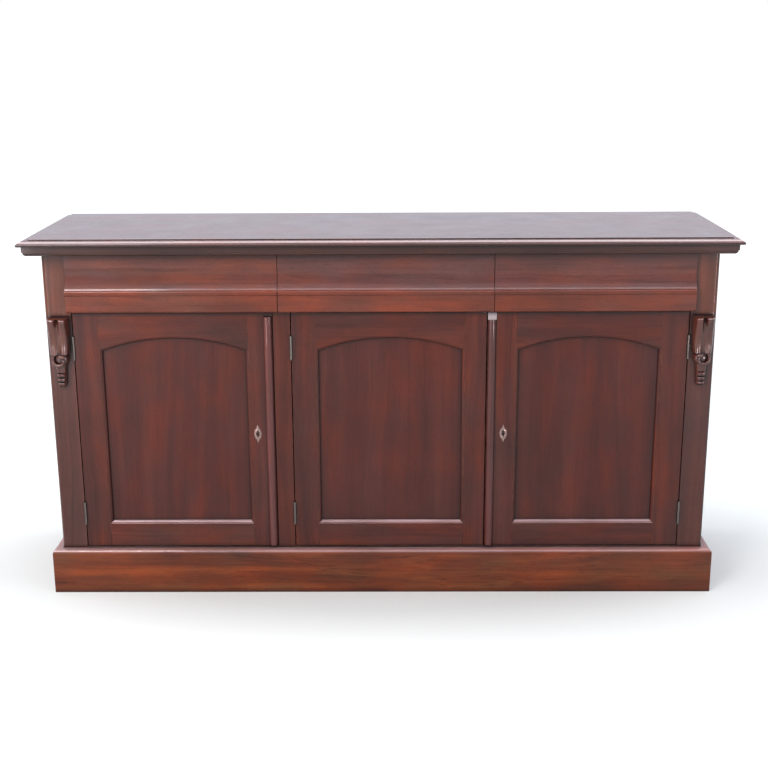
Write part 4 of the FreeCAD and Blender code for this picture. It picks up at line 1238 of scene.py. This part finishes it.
@dataclass
class BackScrews:
    """Screws that hold the back boards to the rails."""

    radius: float = 0.0036
    inset: float = 0.030
    lift: float = 0.0002
    rows: Triple = (0.115, 0.776, 0.912)
    boards: int = 6

    def build(self) -> None:
        """Two screws at each rail in each board."""
        low, high = (Vector(corner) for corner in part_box("back_boards"))
        pitch = (high.x - low.x) / self.boards
        columns = [low.x + pitch * (index + 0.5) + side * (pitch / 2 - self.inset)
                   for index in range(self.boards) for side in (-1, 1)]
        places = [ScrewPlace((x, high.y + self.lift, z)) for x in columns for z in self.rows]
        Screws(self.radius).build("back_screws", "carcass", "lock_steel", LOCK_STEEL, places)


# ---------------- studio
@dataclass
class Lamp:
    """A rectangular soft lamp."""

    name: str
    at: Triple
    aim: Triple
    size: Span
    watts: float
    tint: Triple = (1.0, 1.0, 1.0)
    lights: bool = True
    reflected: bool = True

    def build(self) -> None:
        """Hang the lamp and turn it to its aim."""
        data = bpy.data.lights.new(self.name, "AREA")
        data.shape = "RECTANGLE"
        data.size, data.size_y = self.size
        data.energy = self.watts
        data.color = self.tint
        lamp = linked(self.name, data)
        lamp.location = self.at
        lamp.rotation_euler = (Vector(self.aim) - Vector(self.at)).to_track_quat("-Z", "Y").to_euler()
        lamp.visible_diffuse = self.lights
        lamp.visible_glossy = self.reflected


@dataclass
class Studio:
    """The camera, the floor, the white surround and the lamps."""

    camera_at: Triple = (0.0367, -3.3247, 1.4505)
    lens: float = 59.11
    sensor: float = 36.0
    pitch: float = math.radians(15.566)
    yaw: float = math.radians(0.509)
    roll: float = math.radians(-0.292)
    floor_half: float = 30.0
    floor_seen: Colour = colour(0.585, 0.620, 0.625)
    near_squeeze: Triple = (0.5, 1.0, 1.0)
    near_lift: Span = (0.10, 0.42)
    near_reach: Span = (0.32, 0.80)
    far_lift: Span = (0.0, 0.42)
    far_reach: Span = (1.4, 5.0)
    floor_bounce: float = 0.26
    ambient: float = 0.55
    sky: Colour = colour(0.90, 0.93, 1.06)
    lamps: list[Lamp] = field(default_factory=lambda: [
        Lamp("key", (-2.0, -3.5, 2.7), (-0.1, -0.2, 0.45), (1.6, 1.6), 130.0, (1.0, 0.88, 0.76),
             reflected=False),
        Lamp("overhead", (0.0, 0.0, 3.6), (0.0, 0.0, 0.0), (5.0, 1.6), 130.0, reflected=False),
        Lamp("sky_panel", (0.0, 0.5, 3.6), (0.0, 0.5, 0.0), (7.0, 4.4), 780.0, (1.0, 0.87, 0.91),
             lights=False),
        Lamp("window", (-1.75, -1.05, 3.5), (-1.75, -1.05, 0.0), (1.3, 1.0), 110.0, (1.0, 0.96, 0.96),
             lights=False),
        Lamp("front_panel", (0.0, -2.65, 3.6), (0.0, -2.65, 0.0), (7.0, 1.9), 50.0, (1.0, 0.93, 0.97),
             lights=False),
        Lamp("left_strip", (-1.75, -2.6, 0.4), (0.0, -0.2, 0.4), (0.24, 0.8), 15.0, (1.0, 0.90, 0.94),
             lights=False),
        Lamp("right_strip", (1.95, -2.6, 0.4), (0.0, -0.2, 0.4), (0.24, 0.8), 22.0, (1.0, 0.90, 0.94),
             lights=False)])

    def camera(self) -> None:
        """Set up the camera at its measured place."""
        data = bpy.data.cameras.new("camera")
        data.lens = self.lens
        data.sensor_width = self.sensor
        camera = linked("camera", data)
        camera.matrix_world = (
            Matrix.Translation(self.camera_at) @ Matrix.Rotation(self.yaw, 4, "Z")
            @ Matrix.Rotation(math.pi / 2 - self.pitch, 4, "X") @ Matrix.Rotation(self.roll, 4, "Z"))
        bpy.context.scene.camera = camera

    def floor(self) -> None:
        """Lay a pale floor that looks white to the camera away from the shadow."""
        half = self.floor_half
        data = bpy.data.meshes.new("floor")
        data.from_pydata([(-half, -half, 0.0), (half, -half, 0.0), (half, half, 0.0), (-half, half, 0.0)],
                         [], [(0, 1, 2, 3)])
        floor = linked("floor", data)
        shader = Shader("studio_floor")
        bounce = shader.add("ShaderNodeBsdfDiffuse", {"Color": colour(*[self.floor_bounce] * 3)})
        matt = shader.add("ShaderNodeBsdfDiffuse", {"Color": self.floor_seen})
        near, far = (shader.add("ShaderNodeVectorMath", {0: spot}, operation="LENGTH").outputs["Value"]
                     for spot in (shader.stretched(shader.place, self.near_squeeze), shader.place))
        strength = shader.maths("ADD", shader.spread(near, self.near_reach, self.near_lift),
                                shader.spread(far, self.far_reach, self.far_lift))
        lift = shader.add("ShaderNodeEmission", {"Color": WHITE, "Strength": strength})
        lifted = shader.add("ShaderNodeAddShader", {0: matt.outputs[0], 1: lift.outputs[0]})
        seen = shader.add("ShaderNodeMixShader", {0: shader.shown(), 1: bounce.outputs[0],
                                                  2: lifted.outputs[0]})
        shader.add("ShaderNodeOutputMaterial", {0: seen.outputs[0]})
        data.materials.append(shader.material)

    def surround(self) -> None:
        """A world that is white to the camera and in reflections, and softer as light."""
        world = bpy.data.worlds.new("surround")
        world.use_nodes = True
        nodes = Nodes(world.node_tree)
        soft = nodes.add("ShaderNodeBackground", {"Color": self.sky, "Strength": self.ambient})
        straight = nodes.add("ShaderNodeLightPath").outputs["Is Camera Ray"]
        white = nodes.add("ShaderNodeBackground", {"Color": nodes.mixed(straight, self.sky, WHITE),
                                                   "Strength": 1.0})
        both = nodes.add("ShaderNodeMixShader", {0: nodes.shown(), 1: soft.outputs[0], 2: white.outputs[0]})
        nodes.add("ShaderNodeOutputWorld", {0: both.outputs[0]})
        bpy.context.scene.world = world

    def build(self) -> None:
        """Set the studio up."""
        bpy.context.scene.view_settings.view_transform = "Standard"
        self.camera()
        self.floor()
        self.surround()
        for lamp in self.lamps:
            lamp.build()
        LOG.info("studio ready")


def main() -> None:
    """Build the chiffonier's sub-assemblies in order."""
    logging.basicConfig(level=logging.INFO, format="%(message)s")
    Studio().build()
    Top().build()
    Carcass().build()
    Plinth().build()
    for side in ("left", "right"):
        Corbel(side).build()
    for name in ("left", "centre", "right"):
        Drawer(name).build()
    for name, locks in (("left", True), ("centre", False), ("right", True)):
        Door(name, locks).build()
    Ironmongery().build()
    HingeScrews().build()
    LockScrews().build()
    BackScrews().build()


if __name__ == "__main__":
    main()
